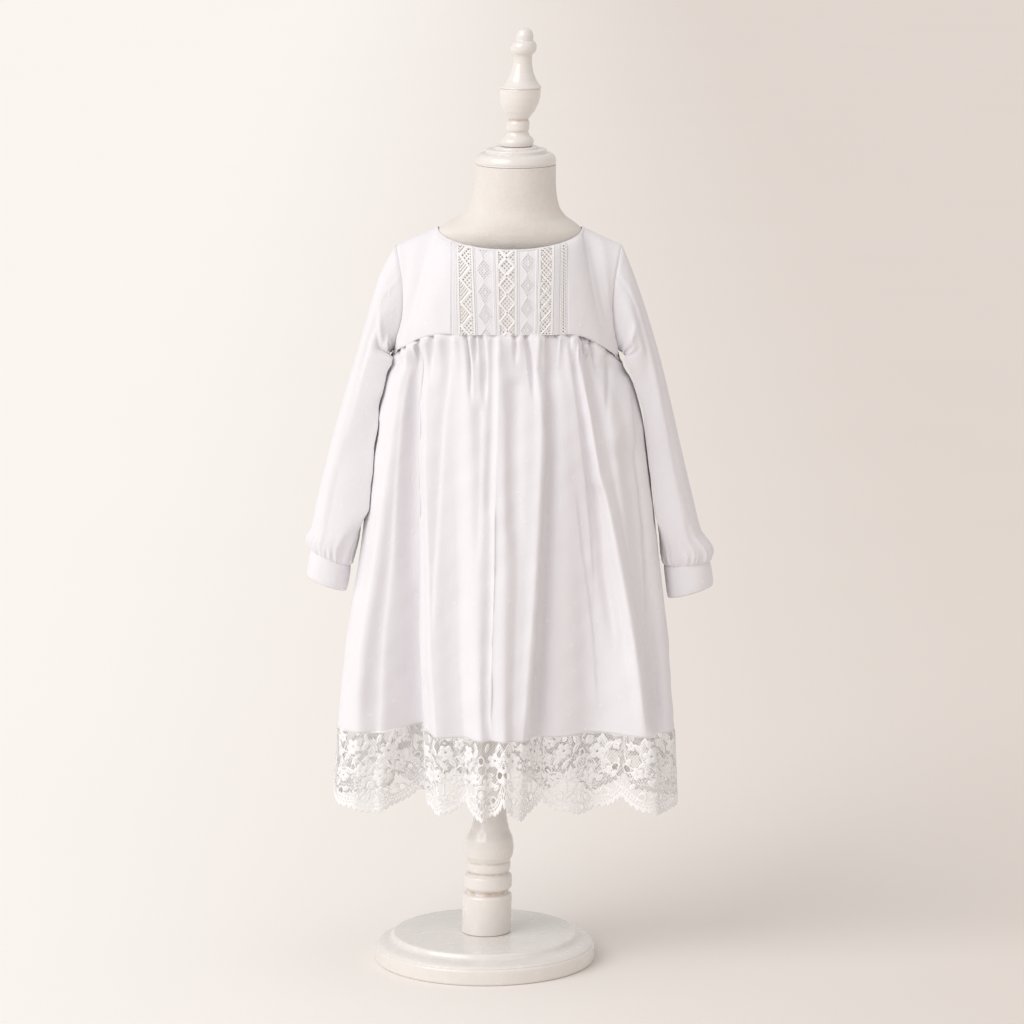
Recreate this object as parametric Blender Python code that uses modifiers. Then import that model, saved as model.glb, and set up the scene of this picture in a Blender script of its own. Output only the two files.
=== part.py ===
"""A child's christening gown, standing on a limbless dress form.

The gown is a set of thin cloth walls: a yoke of flat panels with lace strips, a gathered skirt with
deep folds, a lace flounce, and two long sleeves with cuffs. The form is a turned base and post, a smooth
torso, a neck cap and a finial. Front is -Y, up is +Z, and the origin is the centre of the base's underside.
All sizes below are in millimetres; the meshes are made in metres.
"""

import math
from collections import namedtuple

import bpy
import numpy as np
from mathutils import Matrix, Vector

MM = 0.001
COLLECTION = "christening_gown"

# Cloth
WALL = 1.2
SEAM_GAP = 0.4
SHOULDER_GAP = 0.9
FRONT, BACK = -1, 1
LEFT, RIGHT = -1, 1

# Dress form
BASE_RADIUS = 111.0
BASE_HEIGHT = 28.0
POST_RADIUS = 25.0
STAND_LEAN = 0.0386
FINIAL_LEAN = 0.073
NECK_TOP_Z = 808.9
FACE_GAP = 0.3

# Yoke
NECK_CENTRE_X = 25.5
NECK_HALF_WIDTH = 71.4
NECK_POINT_Z = 746.5
NECK_FRONT_DEPTH, NECK_FRONT_DROP = 52.0, 16.5
NECK_BACK_DEPTH, NECK_BACK_DROP = 50.0, 8.0
SHOULDER_Z = 728.6
ARMHOLE_HALF_DEPTH = 25.0
ARMHOLE_BOW = 8.6
Side = namedtuple("Side", "shoulder_x armpit_x armpit_z")
SIDES = {LEFT: Side(-87.5, -91.0, 621.0), RIGHT: Side(136.5, 135.0, 614.0)}
SEAM_CENTRE_Z = 649.5
SEAM_RISE_WIDTH = 56.0
PANEL_LEFT_X, PANEL_RIGHT_X = -32.0, 82.0
STRIP_WALL = 1.0
Strip = namedtuple("Strip", "name left right")
STRIPS = [
    Strip("lace_strip_left", -26.2, -9.4),
    Strip("embroidered_column_left", -6.6, 8.4),
    Strip("lace_strip_centre", 12.8, 32.4),
    Strip("embroidered_column_right", 35.4, 50.4),
    Strip("lace_strip_right", 53.2, 68.2),
    Strip("beading_strip", 75.0, 81.0),
]
LAP_RAMP = 22.0
LAP_LIFT = WALL + 2 * SEAM_GAP
BUTTON_RADIUS, BUTTON_THICKNESS = 4.5, 2.0
BUTTON_GAP = 0.5
BUTTON_RIM = 0.5
BUTTON_STEPS = 10
BACK_BUTTON_ROWS = (2, 5, 8)

# Skirt: outline at a few heights, measured at the plain cloth between folds
Section = namedtuple("Section", "z left right front back")
SKIRT_SECTIONS = [
    Section(614.0, -91.0, 135.0, 66.0, 63.0),
    Section(588.0, -100.5, 148.0, 69.0, 67.0),
    Section(552.0, -107.5, 158.0, 71.0, 70.0),
    Section(507.0, -114.0, 164.0, 72.0, 73.0),
    Section(420.0, -124.5, 174.0, 70.0, 77.0),
    Section(330.0, -139.0, 184.0, 66.0, 80.0),
    Section(243.0, -148.0, 190.0, 62.0, 82.0),
    Section(158.0, -156.0, 198.0, 58.0, 85.0),
]
HEM_Z = 243.0
PLAN_SQUARENESS = 2.3

# Folds: where each ridge or valley meets the seam and the hem, how far it stands out at the hem, and
# how much it lifts the hem
Fold = namedtuple("Fold", "seam_x hem_x push lift")
FRONT_FOLDS = [
    Fold(-91, -148, 0, 0),
    Fold(-81, -129, 0, 0),
    Fold(-73, -111, -12, 0),
    Fold(-66, -73, -44, 5),
    Fold(-63, -63, -19, 3),
    Fold(-54, -47, 0, 0),
    Fold(-32, -22, -5, 0),
    Fold(-6, -2, 15, 0),
    Fold(10, 7, 10, 0),
    Fold(18, 20, 19, 0),
    Fold(31, 29, 13, 0),
    Fold(52, 37, 13, 0),
    Fold(60, 52, -10, 0),
    Fold(71, 75, -7, 0),
    Fold(88, 111, -16, 2),
    Fold(105, 159, 16, 0),
    Fold(119, 171, 5, 0),
    Fold(128, 179, 7, 0),
    Fold(135, 190, 0, 0),
]
BACK_FOLDS = [
    Fold(-91, -148, 0, 0),
    Fold(-80, -129, 8, 0),
    Fold(-66, -104, -14, 2),
    Fold(-50, -78, 13, 0),
    Fold(-38, -55, -10, 0),
    Fold(-22, -36, 11, 0),
    Fold(-6, -8, -20, 3),
    Fold(8, 14, 9, 0),
    Fold(22, 38, 14, 0),
    Fold(36, 60, -12, 0),
    Fold(54, 84, 11, 0),
    Fold(72, 108, -17, 2),
    Fold(88, 132, 9, 0),
    Fold(104, 155, -8, 0),
    Fold(120, 175, 7, 0),
    Fold(135, 190, 0, 0),
]
FOLD_GROWTH = 0.8
GATHERS = 22
GATHER_DEPTH = 2.6
GATHER_FADE = 0.2
GATHER_STEEPNESS = 0.28
GATHER_WANDER = [(0.4, 14.0, 1.0), (0.3, 33.0, 0.0)]
GATHER_MARGIN = 0.03
SKIRT_ROWS = (0.0, 0.028, 0.075, 0.16, 0.34, 0.64, 1.0)
SKIRT_COLUMNS = 4 * GATHERS
# Places round the seam that the yoke's and the skirt's edges share
SEAM_STATIONS = np.linspace(0.0, math.pi, 25)
MIN_STATION = 0.02

# Lace flounce
LACE_WALL = 1.0
LACE_HEIGHT = 84.0
LACE_REPEATS = 6
LACE_CELLS = 7
LACE_ROWS = 6
SCALLOP_DEPTH = 15.0
SCALLOP_ROUNDNESS = 0.7
LACE_FLARE = 0.6
LACE_SLOPE_FROM = 0.9
# Cells of one repeat that are open, as (column, row), counted from the left and from the hem
LACE_GAPS = [(0, 2), (1, 4), (3, 5), (5, 4), (6, 2), (3, 1)]
GAP_SHARE = 0.62

# Sleeves: outer and inner side of each ring, half its depth from front to back, and how far behind the
# centre it lies
Ring = namedtuple("Ring", "outer_x outer_z inner_x inner_z half_depth behind")
SLEEVE_RINGS = {
    LEFT: [
        Ring(-103.5, 699, -94.5, 622, 28, 1),
        Ring(-118.0, 651, -99.5, 608, 29, 3),
        Ring(-131.0, 607, -104.5, 584, 29, 5),
        Ring(-144.0, 563, -111.0, 548, 28, 6),
        Ring(-156.0, 519, -118.0, 505, 27, 6),
        Ring(-167.5, 472, -122.8, 461, 26, 6),
        Ring(-173.8, 441, -126.5, 432, 26, 6),
    ],
    RIGHT: [
        Ring(148.5, 699, 138.8, 616, 28, 1),
        Ring(164.5, 651, 148.0, 605, 29, 3),
        Ring(177.0, 607, 154.0, 587, 29, 5),
        Ring(188.0, 561, 161.0, 551, 29, 6),
        Ring(197.5, 519, 166.5, 508, 28, 6),
        Ring(208.5, 472, 171.5, 463, 27, 6),
        Ring(216.0, 441, 176.0, 432, 26, 6),
    ],
}
# Cuffs: the same outer and inner points at the top and bottom edge
Cuff = namedtuple("Cuff", "top bottom")
CUFFS = {
    LEFT: Cuff(Ring(-174.5, 421, -134.0, 405, 21, 6), Ring(-178.5, 394, -138.5, 379, 21, 6)),
    RIGHT: Cuff(Ring(226.0, 409, 179.5, 405, 21, 6), Ring(229.5, 385, 183.5, 372, 21, 6)),
}
WRIST_PUFF, PUFF_RISE = 3.0, 10.0
WRIST_GATHERS = 10
WRIST_GATHER_DEPTH = 1.3
GATHER_RING_GROW, GATHER_RING_RISE = 1.2, 3.5
WRIST_GAP = 1.0
SLEEVE_COLUMNS = 20
CUFF_COLUMNS = 26
CUFF_LAP = 0.9
CUFF_LAP_START = 1.3
CUFF_LAP_RAMP = 0.7

# Rows of the yoke's panels, spaced as the sleeve's columns are round the armhole, and how far each has
# rolled over towards the shoulder
YOKE_HEIGHTS = (1 - np.cos(np.linspace(0.0, math.pi, SLEEVE_COLUMNS // 2 + 1))) / 2
ROLL = 1 - np.sqrt(1 - YOKE_HEIGHTS**2)

# Torso of the form, from its underside to the top of the neck; shift is to the side of its leaning axis
Waist = namedtuple("Waist", "z half_width half_depth squareness shift")
TORSO = [
    Waist(345.0, 62.0, 44.0, 2.0, 0.0),
    Waist(352.0, 74.0, 53.0, 2.1, 0.0),
    Waist(380.0, 83.0, 60.0, 2.2, 0.0),
    Waist(500.0, 81.0, 58.0, 2.3, 0.0),
    Waist(620.0, 90.0, 57.0, 2.3, 0.0),
    Waist(690.0, 92.0, 49.0, 2.3, 0.0),
    Waist(712.0, 87.0, 41.0, 2.2, 0.0),
    Waist(727.0, 81.5, 42.0, 2.1, -2.0),
    Waist(738.0, 73.8, 44.5, 2.0, -3.0),
    Waist(745.5, 70.45, 45.5, 2.0, -3.3),
    Waist(751.0, 63.4, 45.5, 2.0, -2.5),
    Waist(757.5, 53.0, 44.5, 2.0, -1.5),
    Waist(768.0, 44.5, 42.0, 2.0, 0.0),
    Waist(788.0, 40.6, 40.6, 2.0, 0.0),
    Waist(NECK_TOP_Z, 39.7, 39.7, 2.0, 0.0),
]
TORSO_COLUMNS = 20

# Turned profiles as (radius, height), from the top down, and how many steps each turns in
BASE_STEPS, POST_STEPS, CAP_STEPS, FINIAL_STEPS = 28, 14, 20, 12
BASE_PROFILE = [
    (92.0, BASE_HEIGHT), (93.6, 26.4), (94.6, 23.8), (97.5, 22.0), (102.0, 20.8), (106.5, 19.2),
    (109.6, 17.0), (BASE_RADIUS, 14.4), (BASE_RADIUS, 1.6), (109.6, 0.0),
]
POST_PROFILE = [
    (15.0, 344.6), (15.0, 172.0), (16.4, 148.0), (19.4, 134.6), (23.4, 126.0), (25.0, 116.0),
    (24.2, 108.0), (21.6, 102.6), (22.4, 99.0), (22.0, 93.0), (20.4, 90.4), (24.2, 86.8),
    (24.6, 75.6), (20.8, 71.4), (20.8, 69.0), (24.2, 67.8),
    (POST_RADIUS, 65.8), (POST_RADIUS, BASE_HEIGHT + FACE_GAP),
]
CAP_PROFILE = [
    (21.0, 827.0), (22.2, 826.2), (22.4, 824.8), (29.2, 824.4), (30.2, 823.4), (30.2, 820.6),
    (35.8, 820.0), (38.4, 817.4), (39.9, 813.6), (39.9, 810.6), (39.2, NECK_TOP_Z + FACE_GAP),
]
FINIAL_PROFILE = [
    (3.0, 943.5), (6.4, 941.6), (8.7, 936.8), (8.9, 931.0), (11.6, 929.4), (12.8, 926.0), (12.8, 922.4),
    (11.4, 919.4), (8.9, 917.2), (9.4, 909.0), (11.4, 900.0), (15.2, 892.0), (18.8, 887.2),
    (20.2, 885.8), (20.2, 882.4), (20.0, 876.0), (18.6, 869.0), (15.6, 862.0), (11.6, 856.4),
    (9.6, 853.4), (11.4, 850.4),
    (11.4, 843.6), (10.4, 841.8), (12.2, 838.0), (16.2, 834.4), (17.0, 831.4),
    (16.0, 827.0 + FACE_GAP),
]

Look = namedtuple("Look", "colour roughness")
LOOKS = {
    "cotton": Look((0.86, 0.85, 0.83), 0.78),
    "lace": Look((0.88, 0.87, 0.85), 0.85),
    "linen_form": Look((0.80, 0.77, 0.70), 0.9),
    "painted_wood": Look((0.84, 0.82, 0.77), 0.38),
    "pearl_button": Look((0.88, 0.87, 0.84), 0.25),
}


# ---------------------------------------------------------------- scene


def clear_scene():
    for thing in list(bpy.data.objects):
        bpy.data.objects.remove(thing, do_unlink=True)


def make_collection():
    collection = bpy.data.collections.new(COLLECTION)
    bpy.context.scene.collection.children.link(collection)
    return collection


def make_material(name, look):
    """A named Principled material of one object."""
    material = bpy.data.materials.new(name)
    material.use_nodes = True
    shader = material.node_tree.nodes["Principled BSDF"]
    shader.inputs["Base Color"].default_value = (*look.colour, 1.0)
    shader.inputs["Roughness"].default_value = look.roughness
    return material


def add_object(collection, name, mesh, look_name, sharp_degrees=40.0):
    mesh.name = name
    mesh.shade_smooth()
    mesh.set_sharp_from_angle(angle=math.radians(sharp_degrees))
    mesh.materials.append(make_material(f"{name}_{look_name}", LOOKS[look_name]))
    piece = bpy.data.objects.new(name, mesh)
    collection.objects.link(piece)
    return piece


# ---------------------------------------------------------------- turned pieces


def lean(mesh, slope, pivot_z, start_x):
    """Slides each level section sideways, so that a turned piece leans and its flat faces stay level."""
    shear = Matrix.Identity(4)
    shear[0][2] = slope
    shear[0][3] = (start_x - slope * pivot_z) * MM
    mesh.transform(shear)


def turned_mesh(profile, steps):
    """A closed turned mesh. The profile runs from the top centre down its outer side to the bottom centre."""
    top, bottom = profile[0][1], profile[-1][1]
    outline = [(0.0, top), *profile, (0.0, bottom)]
    line = bpy.data.meshes.new("profile")
    points = [(radius * MM, 0.0, z * MM) for radius, z in outline]
    line.from_pydata(points, [(i, i + 1) for i in range(len(points) - 1)], [])
    guide = bpy.data.objects.new("profile", line)
    bpy.context.scene.collection.objects.link(guide)
    screw = guide.modifiers.new("turn", "SCREW")
    screw.steps = screw.render_steps = steps
    screw.use_merge_vertices = True
    screw.merge_threshold = 1e-5
    solid = bpy.data.meshes.new_from_object(guide.evaluated_get(bpy.context.evaluated_depsgraph_get()))
    bpy.data.objects.remove(guide, do_unlink=True)
    return solid


def add_turned(collection, name, profile, steps, slope, pivot_z, start_x):
    mesh = turned_mesh(profile, steps)
    lean(mesh, slope, pivot_z, start_x)
    add_object(collection, name, mesh, "painted_wood")


# ---------------------------------------------------------------- cloth walls


def grid_mesh(points, wraps=False, open_cells=None):
    """A surface through points[row][column]. A cell in open_cells gets a diamond-shaped hole."""
    rows, columns = points.shape[:2]
    verts = list(map(tuple, points.reshape(-1, 3) * MM))
    faces = []
    for row in range(rows - 1):
        for column in range(columns if wraps else columns - 1):
            beside = (column + 1) % columns
            corners = [row * columns + column, (row + 1) * columns + column,
                       (row + 1) * columns + beside, row * columns + beside]
            if open_cells and (column, row) in open_cells:
                faces += pierced_cell(verts, corners)
            else:
                faces.append(corners)
    mesh = bpy.data.meshes.new("grid")
    mesh.from_pydata(verts, [], faces)
    return mesh


def pierced_cell(verts, corners):
    """Eight triangles round a diamond hole in a four-cornered cell. Adds the hole's four points to verts."""
    places = [np.array(verts[c]) for c in corners]
    centre = sum(places) / 4
    first = len(verts)
    for i in range(4):
        middle = (places[i] + places[(i + 1) % 4]) / 2
        verts.append(tuple(centre + GAP_SHARE * (middle - centre)))
    ring = []
    for i in range(4):
        ring.append((corners[i], corners[(i + 1) % 4], first + i))
        ring.append((corners[(i + 1) % 4], first + (i + 1) % 4, first + i))
    return ring


def add_wall(collection, name, mesh, look_name, thickness=WALL):
    """Gives an open surface its thickness, inwards from the side its faces look to."""
    piece = add_object(collection, name, mesh, look_name)
    wall = piece.modifiers.new("wall", "SOLIDIFY")
    wall.thickness = thickness * MM
    wall.offset = -1.0
    wall.use_even_offset = False
    return piece


def outward(points, facing):
    """Flips the columns where needed so that faces look forwards (-Y) or backwards (+Y)."""
    return points if facing == FRONT else points[:, ::-1]


# ---------------------------------------------------------------- skirt and lace


def section_at(z):
    heights = [-section.z for section in SKIRT_SECTIONS]
    return [np.interp(-z, heights, [getattr(section, side) for section in SKIRT_SECTIONS])
            for side in ("left", "right", "front", "back")]


def plan_angle(x, left, right):
    """The angle round the plan, 0 at the left side seam and pi at the right one, that lies above x."""
    across = (2 * x - left - right) / (right - left)
    return np.arccos(np.clip(-across, -1.0, 1.0))


def plan_point(angle, z, facing):
    """A point of the plain outline at height z, and the way outwards there, as (x, y) pairs."""
    left, right, front, back = section_at(z)
    half, depth = (right - left) / 2, front if facing == FRONT else back
    across, deep = -np.cos(angle), np.sin(angle)
    y = facing * (SEAM_GAP / 2 + depth * (1 - np.abs(across) ** PLAN_SQUARENESS) ** (1 / PLAN_SQUARENESS))
    x = (left + right) / 2 + half * across
    normal = np.stack([depth * across, facing * half * deep], axis=-1)
    normal /= np.linalg.norm(normal, axis=-1, keepdims=True)
    return np.stack([x, y], axis=-1), normal


def seam_z(x):
    """Height of the seam under the yoke: low at the armpits, level across the middle."""
    rise = np.ones_like(x)
    low = np.full_like(x, SEAM_CENTRE_Z)
    for side, place in SIDES.items():
        inwards = np.clip((place.armpit_x - x) * side, 0.0, SEAM_RISE_WIDTH) / SEAM_RISE_WIDTH
        near = inwards < 1.0
        rise = np.where(near, 1 - (1 - inwards) ** 2, rise)
        low = np.where(near, place.armpit_z, low)
    return low + rise * (SEAM_CENTRE_Z - low)


def seam_angle_at(x):
    return plan_angle(x, SKIRT_SECTIONS[0].left, SKIRT_SECTIONS[0].right)


def seam_points(facing, angle):
    """Points of the seam under the yoke, on straight lines from station to station."""
    left, right = SKIRT_SECTIONS[0].left, SKIRT_SECTIONS[0].right
    x = (left + right) / 2 - (right - left) / 2 * np.cos(SEAM_STATIONS)
    z = seam_z(x)
    flat, _ = plan_point(SEAM_STATIONS, z, facing)
    return np.column_stack([np.interp(angle, SEAM_STATIONS, row) for row in (flat[:, 0], flat[:, 1], z)])


class Folds:
    """The folds of one skirt panel, read at any place across the cloth (0 to 1)."""

    def __init__(self, table, facing):
        self.facing = facing
        seam_left, seam_right = SKIRT_SECTIONS[0].left, SKIRT_SECTIONS[0].right
        hem_left, hem_right = section_at(HEM_Z)[:2]
        seam = np.array([fold.seam_x for fold in table], float)
        hem = np.array([fold.hem_x for fold in table], float)
        self.push = np.array([fold.push for fold in table], float)
        self.lift = np.array([fold.lift for fold in table], float)
        seam_steps = np.diff(seam) / (seam_right - seam_left)
        hem_steps = np.hypot(np.diff(hem), np.diff(self.push))
        steps = (seam_steps + hem_steps / hem_steps.sum()) / 2
        self.place = np.concatenate([[0.0], np.cumsum(steps)])
        self.seam_angle = plan_angle(seam, seam_left, seam_right)
        self.hem_angle = plan_angle(hem, hem_left, hem_right)

    def between(self, values, across):
        """Eases from one fold's value to the next, flat on each ridge and valley."""
        index = np.clip(np.searchsorted(self.place, across, side="right") - 1, 0, len(self.place) - 2)
        share = (across - self.place[index]) / (self.place[index + 1] - self.place[index])
        eased = (1 - np.cos(math.pi * share)) / 2
        return values[index] + (values[index + 1] - values[index]) * eased

    def gather(self, across, down):
        """The small waves under the seam, uneven in width, gone a little way down."""
        wander = sum(size * np.sin(rate * across + start) for size, rate, start in GATHER_WANDER)
        wave = np.cos(2 * math.pi * (GATHERS * across + wander))
        local = np.gradient(np.interp(across, self.place, self.seam_angle), across)
        width = local / GATHERS * (SKIRT_SECTIONS[0].right - SKIRT_SECTIONS[0].left) / 2
        depth = np.minimum(GATHER_DEPTH, GATHER_STEEPNESS * width)
        window = np.clip(np.minimum(across, 1 - across) / GATHER_MARGIN, 0, 1)
        return wave * depth * window * min(down / SKIRT_ROWS[1], 1.0) * math.exp(-down / GATHER_FADE)

    def row(self, across, down):
        """Points at one level of the cloth: down is 0 at the seam and 1 at the hem, more on the lace."""
        seam_angle = np.interp(across, self.place, self.seam_angle)
        hem_angle = np.interp(across, self.place, self.hem_angle)
        angle = seam_angle + (hem_angle - seam_angle) * down
        angle = np.clip(angle, 0.0, math.pi)
        seam = seam_points(self.facing, seam_angle)
        slope = np.gradient(seam[:, 2], seam[:, 0])
        top = seam[:, 2] - SEAM_GAP * np.hypot(1.0, slope)
        hem = HEM_Z + self.between(self.lift, across)
        z = top + (hem - top) * down
        flat, normal = plan_point(angle, z, self.facing)
        if down == 0.0:
            flat = seam[:, :2]
        push = self.between(self.push, across) * down ** FOLD_GROWTH + self.gather(across, down)
        flat = flat + normal * push[:, None]
        return np.column_stack([flat, z])


def skirt_points(folds):
    across = np.linspace(0.0, 1.0, SKIRT_COLUMNS + 1)
    return np.array([folds.row(across, down) for down in SKIRT_ROWS])


def lace_points(folds):
    """The flounce goes on down from the hem. Its lower edge is scalloped, one scallop to each repeat."""
    columns = LACE_REPEATS * LACE_CELLS
    across = np.linspace(0.0, 1.0, columns + 1)
    scallop = np.abs(np.sin(math.pi * LACE_REPEATS * across)) ** SCALLOP_ROUNDNESS
    reach = LACE_HEIGHT - SCALLOP_DEPTH * (1 - scallop)
    hem = folds.row(across, 1.0)
    above = folds.row(across, LACE_SLOPE_FROM)
    fall = (hem - above) * (LACE_FLARE, LACE_FLARE, 1.0)
    fall /= np.linalg.norm(fall, axis=1)[:, None]
    start = hem + fall * SEAM_GAP
    shares = np.linspace(0.0, 1.0, LACE_ROWS + 1)
    return np.array([start + fall * (reach * share)[:, None] for share in shares])


def lace_gaps():
    starts = [repeat * LACE_CELLS for repeat in range(LACE_REPEATS)]
    return {(start + column, row) for start in starts for column, row in LACE_GAPS}


# ---------------------------------------------------------------- yoke


def armhole(side, facing, height):
    """The armhole's edge, as points for heights from 0 at the armpit to 1 at the shoulder."""
    place = SIDES[side]
    straight = place.armpit_x + (place.shoulder_x - place.armpit_x) * height
    x = straight - side * ARMHOLE_BOW * np.sin(math.pi * height)
    gap = SEAM_GAP + (SHOULDER_GAP - SEAM_GAP) * height
    y = facing * (gap / 2 + 2 * ARMHOLE_HALF_DEPTH * np.sqrt(height * (1 - height)))
    z = place.armpit_z + (SHOULDER_Z - place.armpit_z) * height
    return np.column_stack([x, y, z])


def neckline(facing, angle):
    """The neck edge, from the left neck point (0) to the right one (pi)."""
    depth, drop = (NECK_BACK_DEPTH, NECK_BACK_DROP)
    if facing == FRONT:
        depth, drop = (NECK_FRONT_DEPTH, NECK_FRONT_DROP)
    x = NECK_CENTRE_X - NECK_HALF_WIDTH * np.cos(angle)
    y = facing * (SHOULDER_GAP / 2 + depth * np.sin(angle))
    z = NECK_POINT_Z - drop * np.sin(angle)
    return np.column_stack([x, y, z])


def neck_angle(x):
    return math.acos((NECK_CENTRE_X - x) / NECK_HALF_WIDTH)


def yoke_seam(facing, from_x, to_x):
    """The yoke's lower edge between two places, with a point at each station of the seam."""
    start, end = seam_angle_at(from_x), seam_angle_at(to_x)
    inside = SEAM_STATIONS[(SEAM_STATIONS > start + MIN_STATION) & (SEAM_STATIONS < end - MIN_STATION)]
    return seam_points(facing, np.concatenate([[start], inside, [end]]))


def patch(bottom, top, left=None, right=None):
    """A surface from a bottom to a top edge, upright low down and rolling over towards the top.

    A side edge given by its own points bends the surface near it. The bend fades out at the far edge, or half
    way across where both sides are given."""
    share = np.column_stack([YOKE_HEIGHTS, ROLL, YOKE_HEIGHTS])[:, None, :]
    points = bottom[None] * (1 - share) + top[None] * share
    reach = 1.0 if left is None or right is None else 0.5
    across = np.linspace(0.0, 1.0, len(bottom))
    bends = []
    if left is not None:
        bends.append((left - points[:, 0], np.clip(1 - across / reach, 0, 1)))
    if right is not None:
        bends.append((right - points[:, -1], np.clip(1 - (1 - across) / reach, 0, 1)))
    for bend, weight in bends:
        points = points + bend[:, None, :] * (weight**2)[None, :, None]
    return points


def shoulder_line(side, facing, columns):
    """The shoulder seam, from the sleeve's tip to just short of the neck point."""
    tip = armhole(side, facing, np.array([1.0]))[0]
    neck = neckline(facing, np.array([0.0 if side == LEFT else math.pi]))[0]
    return tip + (neck - tip) * np.linspace(0.0, 1.0, columns + 1)[:-1, None]


def front_side_panel(side, edge_x):
    """The plain part of the front yoke, from the armhole to the upright edge at edge_x."""
    limits = sorted((SIDES[side].armpit_x, edge_x))
    bottom = yoke_seam(FRONT, *limits)[::-side]
    neck_columns = len(bottom) // 2
    neck_start = 0.0 if side == LEFT else math.pi
    neck = neckline(FRONT, np.linspace(neck_start, neck_angle(edge_x), neck_columns))
    top = np.concatenate([shoulder_line(side, FRONT, len(bottom) - neck_columns), neck])
    return patch(bottom, top, armhole(side, FRONT, YOKE_HEIGHTS))[:, ::-side]


def front_centre_panel(from_x, to_x):
    """A piece of the front yoke between two upright lines."""
    bottom = yoke_seam(FRONT, from_x, to_x)
    top = neckline(FRONT, np.linspace(neck_angle(from_x), neck_angle(to_x), len(bottom)))
    return patch(bottom, top)


def back_yoke():
    """The whole back yoke, before it is parted at its middle column."""
    bottom = seam_points(BACK, SEAM_STATIONS)
    shoulder_columns = len(bottom) // 4
    neck_columns = len(bottom) - 2 * shoulder_columns
    neck = neckline(BACK, np.linspace(0.0, math.pi, neck_columns))
    left, right = (shoulder_line(side, BACK, shoulder_columns) for side in (LEFT, RIGHT))
    top = np.concatenate([left, neck, right[::-1]])
    return patch(bottom, top, armhole(LEFT, BACK, YOKE_HEIGHTS), armhole(RIGHT, BACK, YOKE_HEIGHTS))


def moved_out(points, distance):
    """The same surface, moved out along its own normals."""
    along = np.gradient(points, axis=1)
    up = np.gradient(points, axis=0)
    normal = np.cross(along, up)
    normal /= np.linalg.norm(normal, axis=2, keepdims=True)
    return points + normal * distance


def lapped(points):
    """Lifts the back panel that laps over the other, easing off away from the middle."""
    share = np.clip((points[:, 2:3, 0] + LAP_RAMP - points[:, :, 0]) / LAP_RAMP, 0.0, 1.0)
    ease = share**2 * (3 - 2 * share)
    return points + (moved_out(points, -LAP_LIFT) - points) * ease[:, :, None]


def on_surface(points, row, column, distance):
    """A place at a distance off the surface, and the way out of it there."""
    way = Vector(moved_out(points, 1.0)[row, column] - points[row, column])
    return Vector(points[row, column]) + way * distance, way


# ---------------------------------------------------------------- sleeves


def ring_points(ring, angle, grow=0.0):
    """An oval ring, angle 0 at its outer side and pi at its inner side, a quarter turn at the front."""
    outer = np.array([ring.outer_x, ring.outer_z])
    inner = np.array([ring.inner_x, ring.inner_z])
    middle, half = (outer + inner) / 2, (outer - inner) / 2
    scale = 1 + grow / np.linalg.norm(half)
    place = middle + np.cos(angle)[:, None] * (half * scale)
    y = ring.behind - np.sin(angle) * (ring.half_depth + grow)
    return np.column_stack([place[:, 0], y, place[:, 1]])


def armhole_ring(side, angle):
    """The whole armhole as a ring, set just outside the yoke's edge."""
    height = (1 + np.cos(angle)) / 2
    front = armhole(side, FRONT, height)
    back = armhole(side, BACK, height)
    ring = np.where((np.sin(angle) >= 0)[:, None], front, back)
    ring[:, 0] += side * (SEAM_GAP + WALL * height)
    return ring


def sleeve_points(side):
    angle = np.linspace(0.0, 2 * math.pi, SLEEVE_COLUMNS, endpoint=False)
    rings = [armhole_ring(side, angle)]
    rings += [ring_points(ring, angle) for ring in SLEEVE_RINGS[side]]
    wrist = CUFFS[side].top
    up = np.array([0.0, 0.0, 1.0])
    wave = radial(wrist, angle) * (WRIST_GATHER_DEPTH * np.cos(WRIST_GATHERS * angle))[:, None]
    rings.append(ring_points(wrist, angle, WRIST_PUFF) + PUFF_RISE * up)
    rings.append(ring_points(wrist, angle, GATHER_RING_GROW) + GATHER_RING_RISE * up + wave)
    rings.append(ring_points(wrist, angle) + WRIST_GAP * up)
    return np.array(rings)


def radial(ring, angle):
    """Unit vectors out of a ring, level with it."""
    outer = ring_points(ring, angle, 1.0) - ring_points(ring, angle)
    return outer / np.linalg.norm(outer, axis=1)[:, None]


def cuff_points(side):
    """A band that laps over itself on the inner back of the wrist."""
    share = np.linspace(0.0, 1.0, CUFF_COLUMNS + 1)
    turn = CUFF_LAP_START + share * (2 * math.pi + CUFF_LAP)
    lap = np.clip((turn - CUFF_LAP_START - 2 * math.pi) / CUFF_LAP_RAMP + 1, 0.0, 1.0)
    angle = -turn
    rows = []
    for ring in (CUFFS[side].top, CUFFS[side].bottom):
        rows.append(ring_points(ring, angle) + radial(ring, angle) * (LAP_LIFT * lap)[:, None])
    top, bottom = rows
    return np.array([top, (top + bottom) / 2, bottom])


# ---------------------------------------------------------------- torso


def torso_mesh():
    """A loft through level sections, closed at the underside and at the top of the neck."""
    angle = np.linspace(0.0, 2 * math.pi, TORSO_COLUMNS, endpoint=False)
    rings = []
    for cut in TORSO:
        power = 2 / cut.squareness
        x = cut.shift + cut.half_width * np.sign(np.cos(angle)) * np.abs(np.cos(angle)) ** power
        y = cut.half_depth * np.sign(np.sin(angle)) * np.abs(np.sin(angle)) ** power
        rings.append(np.column_stack([x, y, np.full_like(x, cut.z)]))
    points = np.array(rings)
    mesh = grid_mesh(points[::-1], wraps=True)
    verts = [tuple(v.co) for v in mesh.vertices]
    faces = [tuple(p.vertices) for p in mesh.polygons]
    last = (len(TORSO) - 1) * TORSO_COLUMNS
    faces.append(tuple(range(TORSO_COLUMNS)))
    faces.append(tuple(last + i for i in reversed(range(TORSO_COLUMNS))))
    closed = bpy.data.meshes.new("torso")
    closed.from_pydata(verts, [], faces)
    bpy.data.meshes.remove(mesh)
    return closed


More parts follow.
